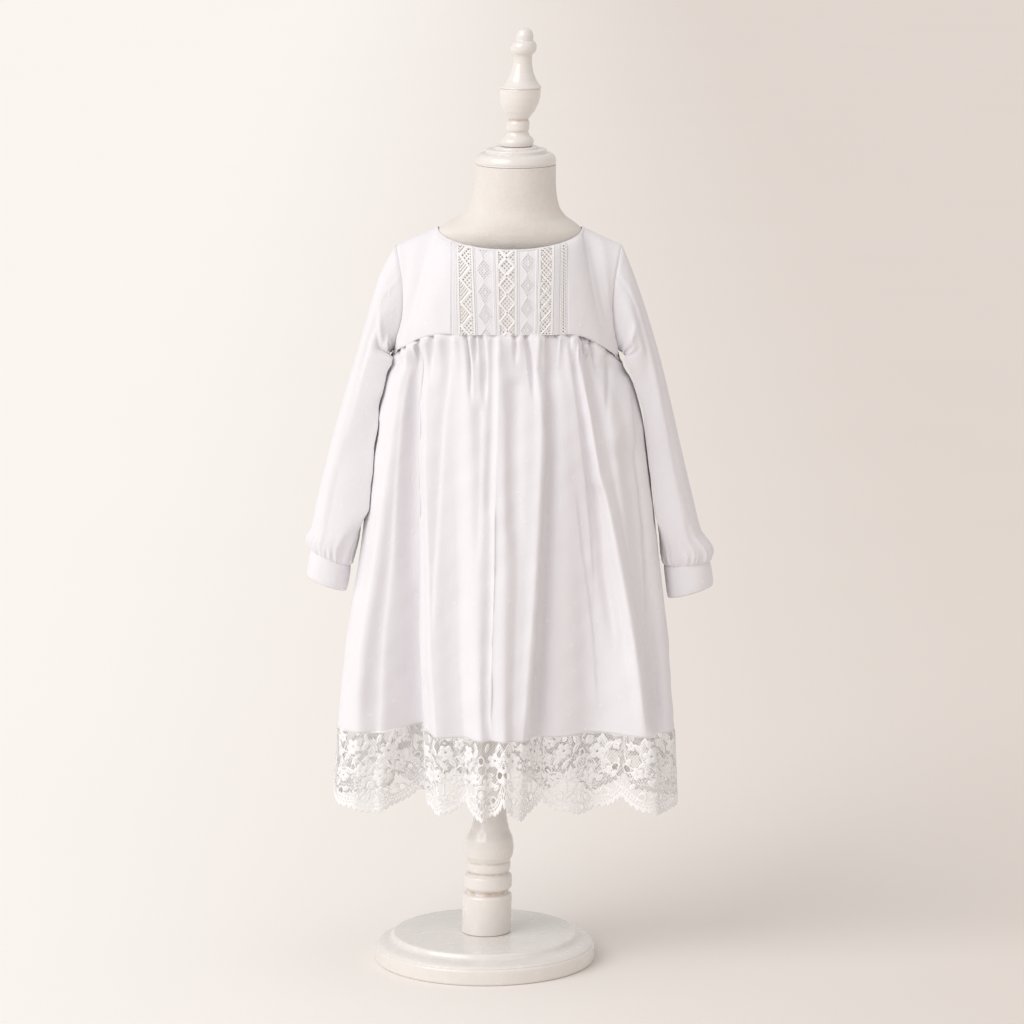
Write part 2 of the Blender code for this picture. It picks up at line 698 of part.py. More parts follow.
# ---------------------------------------------------------------- pieces


def build_form(collection):
    add_turned(collection, "base", BASE_PROFILE, BASE_STEPS, 0.0, 0.0, 0.0)
    add_turned(collection, "post", POST_PROFILE, POST_STEPS, STAND_LEAN, 0.0, 0.0)
    torso = torso_mesh()
    lean(torso, STAND_LEAN, 0.0, 0.0)
    add_object(collection, "form_torso", torso, "linen_form")
    add_turned(collection, "neck_cap", CAP_PROFILE, CAP_STEPS, STAND_LEAN, 0.0, 0.0)
    foot_z = FINIAL_PROFILE[-1][1]
    add_turned(collection, "finial", FINIAL_PROFILE, FINIAL_STEPS, FINIAL_LEAN, foot_z, STAND_LEAN * foot_z)


def build_yoke(collection):
    left = front_side_panel(LEFT, PANEL_LEFT_X - SEAM_GAP)
    right = front_side_panel(RIGHT, PANEL_RIGHT_X + SEAM_GAP)
    centre = front_centre_panel(PANEL_LEFT_X, PANEL_RIGHT_X)
    for name, points in (("left", left), ("right", right), ("centre", centre)):
        add_wall(collection, f"yoke_front_{name}", grid_mesh(points[::-1]), "cotton")
    for strip in STRIPS:
        surface = moved_out(front_centre_panel(strip.left, strip.right), STRIP_WALL + SEAM_GAP)
        add_wall(collection, strip.name, grid_mesh(surface[::-1]), "lace", STRIP_WALL)
    whole = back_yoke()
    middle = whole.shape[1] // 2
    over = lapped(whole[:, middle - 1:])
    add_wall(collection, "yoke_back_left", grid_mesh(whole[:, :middle + 2]), "cotton")
    add_wall(collection, "yoke_back_right", grid_mesh(over), "cotton")
    for number, row in enumerate(BACK_BUTTON_ROWS, 1):
        place, way = on_surface(over, row, 1, -BUTTON_GAP)
        add_button(collection, f"back_button_{number}", place, -way)


def add_button(collection, name, place, away):
    """A small round button, flat against the cloth, with a softened rim."""
    radius, thick, rim = BUTTON_RADIUS, BUTTON_THICKNESS, BUTTON_RIM
    profile = [(radius - rim, thick), (radius, thick - rim), (radius, rim), (radius - rim, 0.0)]
    mesh = turned_mesh(profile, BUTTON_STEPS)
    turn = away.to_track_quat("Z", "Y").to_matrix().to_4x4()
    mesh.transform(Matrix.Translation(place * MM) @ turn)
    add_object(collection, name, mesh, "pearl_button")


def build_skirt(collection):
    for facing, table, where in ((FRONT, FRONT_FOLDS, "front"), (BACK, BACK_FOLDS, "back")):
        folds = Folds(table, facing)
        skirt = skirt_points(folds)
        add_wall(collection, f"skirt_{where}", grid_mesh(outward(skirt, facing)), "cotton")
        lace = lace_points(folds)
        gaps = lace_gaps()
        if facing == BACK:
            last = LACE_REPEATS * LACE_CELLS - 1
            gaps = {(last - column, row) for column, row in gaps}
        flounce = grid_mesh(outward(lace, facing), open_cells=gaps)
        add_wall(collection, f"lace_{where}", flounce, "lace", LACE_WALL)


def build_sleeves(collection):
    """The sleeves and cuffs, and the button on each cuff's lap."""
    for side, where in ((LEFT, "left"), (RIGHT, "right")):
        sleeve, cuff = sleeve_points(side), cuff_points(side)
        if side == RIGHT:
            sleeve = sleeve[:, ::-1]
        else:
            cuff = cuff[:, ::-1]
        add_wall(collection, f"sleeve_{where}", grid_mesh(sleeve, wraps=True), "cotton")
        add_wall(collection, f"cuff_{where}", grid_mesh(cuff), "cotton")
        place, way = on_surface(cuff, 1, -2 if side == RIGHT else 1, -BUTTON_GAP)
        add_button(collection, f"cuff_button_{where}", place, -way)


def main():
    clear_scene()
    collection = make_collection()
    build_form(collection)
    build_yoke(collection)
    build_skirt(collection)
    build_sleeves(collection)


main()
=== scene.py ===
# %% [markdown]
# # A christening gown on its dress form
#
# A christening gown is a fine white cotton dress: a plain yoke with tucks and lace let into its front, a full
# skirt gathered on to it, a deep lace flounce and long cuffed sleeves. Here it hangs on a limbless form with a
# turned, painted stand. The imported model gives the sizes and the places. This script dresses it: real folds,
# gathers, stitches, openwork lace, wood with worn paint, and procedural materials.

# %% Load the frame
import math
from collections import namedtuple

import bmesh
import bpy
import numpy as np
from mathutils import Matrix, Vector


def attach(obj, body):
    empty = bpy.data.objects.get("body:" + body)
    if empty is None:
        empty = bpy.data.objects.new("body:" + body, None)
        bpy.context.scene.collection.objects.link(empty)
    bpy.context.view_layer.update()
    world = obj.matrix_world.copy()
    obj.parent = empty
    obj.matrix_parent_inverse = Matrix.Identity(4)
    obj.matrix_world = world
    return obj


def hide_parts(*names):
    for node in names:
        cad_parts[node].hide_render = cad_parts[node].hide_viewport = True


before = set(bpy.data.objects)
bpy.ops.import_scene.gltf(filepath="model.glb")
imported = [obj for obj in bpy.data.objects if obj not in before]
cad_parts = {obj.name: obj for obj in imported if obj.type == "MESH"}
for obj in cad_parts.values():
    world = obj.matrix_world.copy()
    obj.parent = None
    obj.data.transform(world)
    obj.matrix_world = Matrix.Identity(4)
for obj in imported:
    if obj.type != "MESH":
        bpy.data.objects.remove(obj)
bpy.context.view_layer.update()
print("solids in the frame:", len(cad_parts))

# %% [markdown]
# ## Camera, light and floor
#
# The camera comes first, because every later choice is judged through it. The object is about a metre tall and
# the view looks down by about ten degrees from five metres away, with a long lens, so upright lines stay almost
# parallel. Soft window light from the left shapes the folds, faint daylight from all round keeps their shadows
# open, and a wide pale floor fills the picture behind the lace, whichever side the gown is seen from. The floor's
# colour holds painted light: lighter on the window's side and darker on the far side.

# %% Camera and studio
MM = 0.001
CAMERA_PLACE = (0.0275, -5.2, 1.40)
CAMERA_TILT = math.radians(90 - 10.25)
CAMERA_LENS = 185.8


def add_camera():
    data = bpy.data.cameras.new("camera")
    data.lens, data.sensor_width = CAMERA_LENS, 36.0
    data.clip_end = 50.0
    camera = bpy.data.objects.new("camera", data)
    camera.location = CAMERA_PLACE
    camera.rotation_euler = (CAMERA_TILT, 0.0, 0.0)
    bpy.context.scene.collection.objects.link(camera)
    bpy.context.scene.camera = camera


def add_window_light(name, place, strength, spread, colour):
    """Even light from one side, soft as a wide window's. It comes from a place towards the middle."""
    data = bpy.data.lights.new(name, "SUN")
    data.energy, data.angle, data.color = strength, math.radians(spread), colour
    light = bpy.data.objects.new(name, data)
    light.location = place
    light.rotation_euler = (Vector((0.0, 0.0, 0.5)) - Vector(place)).to_track_quat("-Z", "Y").to_euler()
    bpy.context.scene.collection.objects.link(light)


def add_daylight(colour, strength):
    """An even, faint light from all round, so that no shadow is black."""
    world = bpy.data.worlds.new("daylight")
    world.use_nodes = True
    sky = world.node_tree.nodes["Background"]
    sky.inputs["Color"].default_value = (*colour, 1.0)
    sky.inputs["Strength"].default_value = strength
    bpy.context.scene.world = world


add_camera()
bpy.context.scene.view_settings.view_transform = "Standard"
add_daylight((1.0, 0.96, 0.935), 0.695)
add_window_light("key_light", (-3.5, -2.8, 3.8), 1.54, 50.0, (0.985, 0.985, 1.0))
print("lights:", [o.name for o in bpy.data.objects if o.type == "LIGHT"])

# %% [markdown]
# ## Helpers for meshes and for shader maths
#
# Everything below is built from numbers in millimetres, because a maker thinks in millimetres, and turned into
# metres when a mesh is made. `sheet_mesh` makes one grid of faces with a UV map that runs along the cloth in
# metres, so that a weave keeps its real scale wherever the cloth folds.

# %% Mesh helpers
FRONT, BACK = -1, 1
LEFT, RIGHT = -1, 1
SIDE_NAMES = {LEFT: "left", RIGHT: "right"}


def smoothstep(value):
    value = np.clip(value, 0, 1)
    return value * value * (3 - 2 * value)


def curve_through(x, places, values):
    """A smooth curve through given values, with slopes that never overshoot them."""
    places, values = np.asarray(places, float), np.asarray(values, float)
    steps = np.diff(places)
    rises = np.diff(values) / steps
    slopes = np.empty_like(values)
    slopes[0], slopes[-1] = rises[0], rises[-1]
    same_way = rises[:-1] * rises[1:] > 0
    mean = 2 * rises[:-1] * rises[1:] / np.where(same_way, rises[:-1] + rises[1:], 1.0)
    slopes[1:-1] = np.where(same_way, mean, 0.0)
    index = np.clip(np.searchsorted(places, x, side="right") - 1, 0, len(places) - 2)
    share = np.clip((x - places[index]) / steps[index], 0, 1)
    ease = share * share * (3 - 2 * share)
    hold = share * (1 - share)
    curve = values[index] * (1 - ease) + values[index + 1] * ease
    return curve + steps[index] * hold * (slopes[index] * (1 - share) - slopes[index + 1] * share)


def arc_lengths(points):
    """Distance along a line of points, from its first one."""
    return np.concatenate([[0.0], np.cumsum(np.linalg.norm(np.diff(points, axis=0), axis=1))])


def unit(vectors):
    """Vectors of the same directions, each one long."""
    return vectors / np.maximum(np.linalg.norm(vectors, axis=-1, keepdims=True), 1e-9)


def normals_of(points, wraps=False):
    """Unit normals of a grid of points[row][column], from the way along the columns and down the rows."""
    if wraps:
        along = np.roll(points, -1, axis=1) - np.roll(points, 1, axis=1)
    else:
        along = np.gradient(points, axis=1)
    return unit(np.cross(np.gradient(points, axis=0), along))


def make_piece(name, mesh):
    piece = bpy.data.objects.new(name, mesh)
    bpy.context.scene.collection.objects.link(piece)
    mesh.shade_smooth()
    return piece


def set_uv(mesh, coordinates):
    """Writes one UV place for each vertex, in metres along the cloth."""
    layer = mesh.uv_layers.new(name="cloth")
    corners = np.empty(len(mesh.loops), np.int32)
    mesh.loops.foreach_get("vertex_index", corners)
    layer.data.foreach_set("uv", np.asarray(coordinates, np.float32)[corners].ravel())


def run_down(points):
    """How far each place of a grid lies below its first row, along the cloth."""
    steps = np.linalg.norm(np.diff(points, axis=0), axis=2)
    return np.concatenate([np.zeros((1, points.shape[1])), np.cumsum(steps, axis=0)])


def sheet_mesh(name, points, wraps=False):
    """A grid of faces through points[row][column]."""
    rows, columns = points.shape[:2]
    number = np.arange(rows * columns).reshape(rows, columns)
    right = np.roll(number, -1, axis=1)
    if not wraps:
        number, right = number[:, :-1], right[:, :-1]
    cells = np.stack([number[:-1], number[1:], right[1:], right[:-1]], axis=-1).reshape(-1, 4)
    mesh = bpy.data.meshes.new(name)
    mesh.from_pydata((points.reshape(-1, 3) * MM).tolist(), [], cells.tolist())
    across = np.broadcast_to(arc_lengths(points[rows // 2]), (rows, columns))
    set_uv(mesh, np.stack([across, run_down(points)], axis=-1).reshape(-1, 2) * MM)
    return mesh


def give_thickness(piece, thickness):
    """Turns a sheet into a thin closed wall, inwards from its outer side, and bakes it into the mesh."""
    wall = piece.modifiers.new("thickness", "SOLIDIFY")
    wall.thickness = thickness * MM
    wall.offset = -1.0
    wall.use_even_offset = False
    bake_modifiers(piece)


def bake_modifiers(piece):
    solid = bpy.data.meshes.new_from_object(piece.evaluated_get(bpy.context.evaluated_depsgraph_get()))
    piece.modifiers.clear()
    old = piece.data
    piece.data = solid
    bpy.data.meshes.remove(old)


def triangles(piece):
    return sum(len(p.vertices) - 2 for p in piece.data.polygons)


def dress(piece, material, slot, *nodes):
    """The last step for each piece: its finish, the body it rides on and the solids that it stands for."""
    piece.data.materials.clear()
    piece.data.materials.append(material)
    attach(piece, "root")
    if nodes:
        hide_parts(*nodes)
    print(f"{piece.name}: {triangles(piece)} triangles")


# %% Shader helpers
class Signal:
    """A socket in a material's node tree. Arithmetic on it adds Math nodes."""

    def __init__(self, finish, socket):
        self.finish, self.socket = finish, socket

    def maths(self, operation, *values):
        return self.finish.node("ShaderNodeMath", {"operation": operation}, dict(enumerate(values)))

    def __add__(self, other):
        return self.maths("ADD", self, other)

    def __sub__(self, other):
        return self.maths("SUBTRACT", self, other)

    def __rsub__(self, other):
        return self.maths("SUBTRACT", other, self)

    def __mul__(self, other):
        return self.maths("MULTIPLY", self, other)

    __radd__, __rmul__ = __add__, __mul__

    def sine(self):
        return self.maths("SINE", self)

    def between(self, low, high):
        """0 below low, 1 above high, smooth in between."""
        settings = {"interpolation_type": "SMOOTHSTEP"}
        return self.finish.node("ShaderNodeMapRange", settings, {0: self, 1: low, 2: high})


class Finish:
    """A material while it is made, with one method that adds any node."""

    def __init__(self, name, colour, roughness):
        self.material = bpy.data.materials.new(name)
        self.material.use_nodes = True
        self.tree = self.material.node_tree
        self.shader = self.tree.nodes["Principled BSDF"]
        self.set("Base Color", (*colour, 1.0))
        self.set("Roughness", roughness)

    def node(self, kind, settings=None, inputs=None, output=0):
        node = self.tree.nodes.new(kind)
        for key, value in (settings or {}).items():
            setattr(node, key, value)
        for key, value in (inputs or {}).items():
            self.feed(node.inputs[key], value)
        return Signal(self, node.outputs[output])

    def feed(self, socket, value):
        if isinstance(value, Signal):
            self.tree.links.new(value.socket, socket)
        else:
            socket.default_value = value

    def set(self, name, value):
        self.feed(self.shader.inputs[name], value)

    def place(self):
        """Where a place lies on its piece, in metres."""
        return self.node("ShaderNodeTexCoord", output=3)

    def cloth(self):
        """Where a place lies on its cloth, in metres."""
        return self.node("ShaderNodeUVMap", {"uv_map": "cloth"})

    def stretched(self, vector, scale):
        return self.node("ShaderNodeMapping", inputs={"Vector": vector, "Scale": scale})

    def split(self, vector):
        """The three numbers of a vector."""
        parts = self.node("ShaderNodeSeparateXYZ", inputs={0: vector}).socket.node
        return [Signal(self, parts.outputs[i]) for i in range(3)]

    def noise(self, vector, scale, detail, roughness=0.5):
        inputs = {"Vector": vector, "Scale": scale, "Detail": detail, "Roughness": roughness}
        return self.node("ShaderNodeTexNoise", inputs=inputs)

    def blend(self, share, first, second):
        """A colour between two colours."""
        first, second = (c if isinstance(c, Signal) else (*c, 1.0) for c in (first, second))
        return self.node("ShaderNodeMix", {"data_type": "RGBA"}, {0: share, 6: first, 7: second}, output=2)

    def bump(self, height, distance, strength, under=None):
        inputs = {"Height": height, "Distance": distance, "Strength": strength}
        if under is not None:
            inputs["Normal"] = under
        return self.node("ShaderNodeBump", inputs=inputs)


# %% [markdown]
# ## The lines that the gown is cut and hung by
#
# A gown on a form keeps the lines it was cut to. The seam under the yoke is one of them, and so are the neck,
# the armholes and the hem. The skirt's plain outline is a rounded rectangle that widens downwards, and each
# fold is written as where its ridge or valley leaves the seam, where it meets the hem, and how far it stands
# out there. These few numbers are the same ones that the solids were made from, so the dressed surface lies
# where the solids are. Read finely, with smooth curves between the numbers, they give soft cloth.

# %% The skirt's plain outline and its seam
SEAM_GAP = 0.4
SHOULDER_GAP = 0.9
Section = namedtuple("Section", "z left right front back")
SKIRT_SECTIONS = [
    Section(614, -91, 135, 66, 63),
    Section(588, -100.5, 148, 69, 67),
    Section(552, -107.5, 158, 71, 70),
    Section(507, -114, 164, 72, 73),
    Section(420, -124.5, 174, 70, 77),
    Section(330, -139, 184, 66, 80),
    Section(243, -148, 190, 62, 82),
    Section(158, -156, 198, 58, 85),
]
HEM_Z = 243.0
PLAN_SQUARENESS = 2.3
SEAM_CENTRE_Z = 649.5
SEAM_RISE_WIDTH = 56.0
Side = namedtuple("Side", "shoulder_x armpit_x armpit_z")
SIDES = {LEFT: Side(-87.5, -91.0, 621.0), RIGHT: Side(136.5, 135.0, 614.0)}
SEAM_LEFT, SEAM_RIGHT = SKIRT_SECTIONS[0].left, SKIRT_SECTIONS[0].right


def section_at(z):
    heights = [-section.z for section in SKIRT_SECTIONS]
    below_top = np.maximum(-z, heights[0])
    return [curve_through(below_top, heights, [getattr(section, side) for section in SKIRT_SECTIONS])
            for side in ("left", "right", "front", "back")]


def plan_angle(x, left, right):
    """The angle round the plan, 0 at the left side seam and pi at the right one, that lies above x."""
    return np.arccos(np.clip((left + right - 2 * x) / (right - left), -1.0, 1.0))


def plan_point(angle, z, facing):
    """A point of the plain outline at height z, and the way outwards there, as (x, y) pairs."""
    left, right, front, back = section_at(z)
    half, depth = (right - left) / 2, front if facing == FRONT else back
    across, deep = -np.cos(angle), np.sin(angle)
    y = facing * (SEAM_GAP / 2 + depth * (1 - np.abs(across) ** PLAN_SQUARENESS) ** (1 / PLAN_SQUARENESS))
    x = (left + right) / 2 + half * across
    return np.stack([x, y], axis=-1), unit(np.stack([depth * across, facing * half * deep], axis=-1))


def seam_points(facing, angle):
    """Points of the seam under the yoke: low at the armpits, level across the middle."""
    x = (SEAM_LEFT + SEAM_RIGHT) / 2 - (SEAM_RIGHT - SEAM_LEFT) / 2 * np.cos(angle)
    rise, low = np.ones_like(x), np.full_like(x, SEAM_CENTRE_Z)
    for side, place in SIDES.items():
        inwards = np.clip((place.armpit_x - x) * side, 0.0, SEAM_RISE_WIDTH) / SEAM_RISE_WIDTH
        rise = np.where(inwards < 1.0, 1 - (1 - inwards) ** 2, rise)
        low = np.where(inwards < 1.0, place.armpit_z, low)
    z = low + rise * (SEAM_CENTRE_Z - low)
    flat, _ = plan_point(angle, z, facing)
    return np.column_stack([flat, z])


middle_seam = seam_points(FRONT, np.linspace(0, math.pi, 200))
print("front seam:", round(float(arc_lengths(middle_seam)[-1])), "mm along")

# %% [markdown]
# ## The skirt's folds, gathers and creases
#
# Three sizes of relief make this skirt. The big folds run from seam to hem. Under the seam, the cloth is drawn
# up on a thread, so small uneven ridges stand side by side and die out a few centimetres down. Between them lie
# creases: soft ridges and troughs, and a few sharp edges where the cloth turns over itself. A cloth simulation
# would find its own folds, and no two runs of settings give the ones that this gown has, so each crease is
# listed as a line down the cloth with a width and a height.

# %% Folds
Fold = namedtuple("Fold", "seam_x hem_x push lift")
FRONT_FOLDS = [Fold(*row) for row in (
    (-91, -148, 0, 0), (-81, -129, 0, 0), (-73, -111, -12, 0), (-66, -73, -44, 5), (-63, -63, -19, 3),
    (-54, -47, 0, 0), (-32, -22, -5, 0), (-6, -2, 15, 0), (10, 7, 10, 0), (18, 20, 19, 0), (31, 29, 13, 0),
    (52, 37, 13, 0), (60, 52, -10, 0), (71, 75, -7, 0), (88, 111, -16, 2), (105, 159, 16, 0), (119, 171, 5, 0),
    (128, 179, 7, 0), (135, 190, 0, 0),
)]
BACK_FOLDS = [Fold(*row) for row in (
    (-91, -148, 0, 0), (-80, -129, 8, 0), (-66, -104, -14, 2), (-50, -78, 13, 0), (-38, -55, -10, 0),
    (-22, -36, 11, 0), (-6, -8, -20, 3), (8, 14, 9, 0), (22, 38, 14, 0), (36, 60, -12, 0), (54, 84, 11, 0),
    (72, 108, -17, 2), (88, 132, 9, 0), (104, 155, -8, 0), (120, 175, 7, 0), (135, 190, 0, 0),
)]
FOLD_GROWTH = 0.8
Gather = namedtuple("Gather", "place height width length")


class SkirtPanel:
    """One half of the skirt, read at any place across the cloth (0 to 1) and down it (0 seam, 1 hem)."""

    def __init__(self, table, facing, gathers):
        self.facing = facing
        hem_left, hem_right = (float(side) for side in section_at(np.array(HEM_Z))[:2])
        seam, hem, self.push, self.lift = np.array(table, float).T
        hem_steps = np.hypot(np.diff(hem), np.diff(self.push))
        steps = (np.diff(seam) / (SEAM_RIGHT - SEAM_LEFT) + hem_steps / hem_steps.sum()) / 2
        self.place = np.concatenate([[0.0], np.cumsum(steps)])
        self.seam_angle = plan_angle(seam, SEAM_LEFT, SEAM_RIGHT)
        self.hem_angle = plan_angle(hem, hem_left, hem_right)
        self.gathers = gathers

    def between(self, values, across):
        """Eases from one fold's value to the next, flat on each ridge and valley."""
        index = np.clip(np.searchsorted(self.place, across, side="right") - 1, 0, len(self.place) - 2)
        share = (across - self.place[index]) / (self.place[index + 1] - self.place[index])
        return values[index] + (values[index + 1] - values[index]) * (1 - np.cos(math.pi * share)) / 2

    def gathered(self, across, drop):
        """How far the gathers stand out, drop being the distance below the seam."""
        total = np.full_like(across, 1.7 * math.exp(-drop / 16.0))
        for gather in self.gathers:
            near = (across - gather.place) / gather.width
            total += gather.height * np.exp(-near**2) * math.exp(-(drop / gather.length) ** 1.4)
        return total * smoothstep(np.array((drop - 0.9) / 4.2))

    def row(self, across, down):
        """Points at one level of the cloth. down is 0 at the seam and 1 at the hem, more on the lace."""
        seam_angle = np.interp(across, self.place, self.seam_angle)
        hem_angle = np.interp(across, self.place, self.hem_angle)
        angle = np.clip(seam_angle + (hem_angle - seam_angle) * down, 0.0, math.pi)
        seam = seam_points(self.facing, seam_angle)
        slope = np.gradient(seam[:, 2], seam[:, 0])
        top = seam[:, 2] - SEAM_GAP * np.hypot(1.0, slope)
        hem = HEM_Z + self.between(self.lift, across)
        z = top + (hem - top) * down
        flat, normal = plan_point(angle, z, self.facing)
        blend = smoothstep(np.array(down / 0.06))
        flat = seam[:, :2] * (1 - blend) + flat * blend
        push = self.between(self.push, across) * down**FOLD_GROWTH
        push = push + self.gathered(across, down * (SEAM_CENTRE_Z - HEM_Z))
        return np.column_stack([flat + normal * push[:, None], z])


def uneven_gathers(count, seed):
    """Gathers along a drawn thread: uneven in place, height, width and length."""
    draw = np.random.default_rng(seed)
    places = (np.arange(count) + 0.5 + draw.uniform(-0.3, 0.3, count)) / count
    heights = draw.uniform(1.5, 3.9, count)
    widths = draw.uniform(0.22, 0.42, count) / count
    lengths = draw.uniform(12.0, 34.0, count) + 70.0 * (draw.random(count) > 0.82)
    return [Gather(*row) for row in zip(places, heights, widths, lengths)]


front_panel = SkirtPanel(FRONT_FOLDS, FRONT, uneven_gathers(19, 3))
back_panel = SkirtPanel(BACK_FOLDS, BACK, uneven_gathers(38, 11))
hem_line = front_panel.row(np.linspace(0, 1, 2000), 1.0)
print("front hem:", round(float(arc_lengths(hem_line)[-1])), "mm along its folds")

# %% Creases
# Each crease is a line of (x, height) places down the cloth. height above zero is a ridge, below it a trough.
# left and right are its widths: where they differ, the cloth turns over softly on one side, sharply on the other.
Crease = namedtuple("Crease", "height left right line")
FRONT_CREASES = [
    Crease(-4, 11, 6, [(-66, 636), (-69, 560), (-71, 480), (-74, 390)]),
    Crease(3.9, 6, 9, [(-75.8, 641), (-82.5, 583), (-89.9, 534), (-97.4, 484), (-106.1, 422), (-118.5, 347),
        (-128.4, 260)]),
    Crease(-2.1, 8, 7, [(-110.5, 554), (-118.5, 459), (-125.9, 372)]),
    Crease(-1.8, 8, 3, [(-33.6, 648), (-35.6, 608), (-41, 564), (-44.5, 509), (-47.7, 459), (-51.4, 397),
        (-53.9, 347)]),
    Crease(-2.6, 6, 3.2, [(9.3, 648), (9.3, 601), (9, 559), (7, 509), (6, 459), (6, 385), (4.1, 310), (2.6, 245)]),
    Crease(3.4, 3.8, 9, [(13.9, 648), (13.9, 601), (13.6, 559), (11.6, 509), (10.6, 459), (10.6, 385), (8.7, 310),
        (7.2, 245)]),
    Crease(-2.1, 6, 4, [(-4.3, 578), (-5.3, 509), (-6.8, 447), (-8, 419)]),
    Crease(-3.4, 8, 8, [(31, 601), (29, 544), (29, 469), (33, 434)]),
    Crease(2.9, 7, 1.8, [(58.7, 652), (59.2, 608), (59.2, 544), (57.4, 504), (55.2, 459), (52.7, 409), (50.2, 360),
        (46.3, 310), (43.8, 245)]),
    Crease(-4.7, 5.5, 8, [(64.8, 652), (65.3, 608), (65.3, 544), (63.5, 504), (61.3, 459), (58.8, 409), (56.3, 360),
        (52.4, 310), (49.9, 245)]),
    Crease(2.1, 7, 1.6, [(80.8, 649), (85.5, 608), (90.5, 571), (94.9, 534), (99.9, 494), (103.9, 447),
        (107.3, 397)]),
    Crease(-4.4, 4, 3.4, [(83.9, 648), (91.3, 608), (97, 571), (102, 534), (106.9, 494), (112.9, 447), (118.6, 397),
        (127.3, 335)]),
    Crease(1.2, 6, 1.4, [(88.8, 489), (95, 434), (105, 360), (112.4, 270)]),
    Crease(-4.2, 9, 7, [(113.6, 494), (121.1, 447), (129.8, 385), (139.7, 310)]),
    Crease(3.1, 6, 7, [(5.7, 484), (6.4, 434), (6.9, 360), (6.9, 245)]),
    Crease(8.5, 7, 3.8, [(88.8, 646), (97, 603), (106.2, 559), (116.1, 509), (124.8, 472), (132.3, 434), (141.7, 385),
        (150.1, 335), (160.8, 245)]),
    Crease(-3.9, 4, 9, [(98.8, 646), (107, 603), (116.2, 559), (126.1, 509), (134.8, 472), (142.3, 434), (151.7, 385),
        (160.1, 335), (170.8, 245)]),
    Crease(2.3, 6, 1.5, [(141, 601), (148.4, 534), (157.1, 459), (162.1, 385), (167, 273)]),
    Crease(-2.3, 2, 2.6, [(121.8, 627), (122.8, 601), (121.3, 564)]),
    Crease(-6.6, 20, 6, [(144.4, 544), (156.1, 484), (163, 422), (171.7, 335), (177.9, 245)]),
    Crease(-3.5, 2.5, 1.4, [(-78, 639), (-78.8, 611)]),
    Crease(-5.1, 3, 1.4, [(-51.4, 646), (-52.9, 608)]),
    Crease(-5.9, 2.7, 1.5, [(-17.9, 649), (-14.2, 621), (-12.7, 588)]),
    Crease(-4.3, 2.2, 1.5, [(-8.7, 649), (-7.8, 626)]),
    Crease(-5.9, 3, 1.8, [(-2.8, 648), (0.2, 621), (0.7, 583)]),
    Crease(-4.7, 1.8, 2.5, [(30, 649), (31, 626)]),
    Crease(-5.5, 2.2, 2.2, [(41.2, 649), (45.4, 626), (49.1, 588)]),
    Crease(-3.1, 2.2, 1.5, [(71.4, 649), (72.2, 626)]),
    Crease(-4.7, 1.8, 1.5, [(95.8, 646), (100, 623)]),
    Crease(-4.3, 1.5, 1.7, [(106.9, 641), (111.4, 616)]),
    Crease(-3.9, 2.6, 1.5, [(-65.8, 643), (-64.9, 618)]),
    Crease(-3.4, 2.4, 1.5, [(-83.7, 636), (-85.7, 608)]),
]
BACK_CREASES = [
    Crease(3, 5, 2.2, [(-60, 646), (-62, 560), (-70, 420), (-90, 250)]),
    Crease(-3.4, 4, 4, [(-68, 644), (-70, 560), (-80, 420), (-101, 250)]),
    Crease(3.6, 8, 8, [(-78, 632), (-97, 520), (-112, 400), (-128, 250)]),
    Crease(3, 5.5, 5.5, [(-44, 648), (-52, 540), (-64, 400), (-76, 250)]),
    Crease(-3.2, 4.5, 4.5, [(-26, 648), (-30, 540), (-42, 400), (-54, 250)]),
    Crease(3.2, 5, 5, [(-14, 648), (-18, 520), (-28, 380), (-36, 250)]),
    Crease(-3.6, 3, 1.4, [(2, 649), (0, 560), (-4, 420), (-7, 250)]),
    Crease(3, 4.4, 4.4, [(12, 649), (16, 520), (22, 380), (24, 250)]),
    Crease(-2.6, 3.2, 3.2, [(24, 649), (30, 540), (38, 430)]),
    Crease(3, 5, 5, [(33, 649), (40, 520), (46, 380), (40, 250)]),
    Crease(-3.4, 3, 1.4, [(44, 649), (52, 540), (58, 400), (60, 250)]),
    Crease(3.4, 6, 6, [(60, 648), (70, 520), (80, 380), (84, 250)]),
    Crease(-3.6, 4, 4, [(78, 646), (90, 540), (101, 400), (108, 250)]),
    Crease(3, 5, 5, [(92, 644), (108, 560), (122, 430), (134, 250)]),
    Crease(-2.8, 3.6, 3.6, [(106, 638), (122, 560), (140, 430), (156, 250)]),
    Crease(3, 5, 5, [(120, 630), (136, 560), (152, 430), (172, 250)]),
]


def creased(points, creases):
    """The same cloth with its creases, each pressed out or in along the cloth's own normals."""
    x, z = points[..., 0], points[..., 2]
    push = np.zeros_like(x)
    for crease in creases:
        xs, zs = (np.array(values, float) for values in zip(*crease.line))
        line_x = curve_through(-z, -zs, xs)
        off = (x - line_x) / np.where(x < line_x, crease.left, crease.right)
        shape = np.exp(-off**2)
        begins = 24.0 if crease.height > 0 or crease.left > 9 else 6.0
        ends = smoothstep((zs[0] - z + 4.0) / begins) * smoothstep((z - zs[-1] + 10.0) / min(40.0, zs[0] - zs[-1]))
        push += crease.height * shape * ends
    return points + normals_of(points) * push[..., None]


def rumple(points, seed, size, height):
    """Slight random unevenness, as in cotton that was folded in a drawer. size is its grain in millimetres."""
    draw = np.random.default_rng(seed)
    push = np.zeros(points.shape[:2])
    for _ in range(14):
        way = draw.normal(size=3) * (1.0, 1.0, 0.7)
        rate = 2 * math.pi / (size * draw.uniform(0.7, 2.2))
        push += np.sin(points @ (way / np.linalg.norm(way)) * rate + draw.uniform(0, 6.28))
    return points + normals_of(points) * (push * height / 4.0)[..., None]
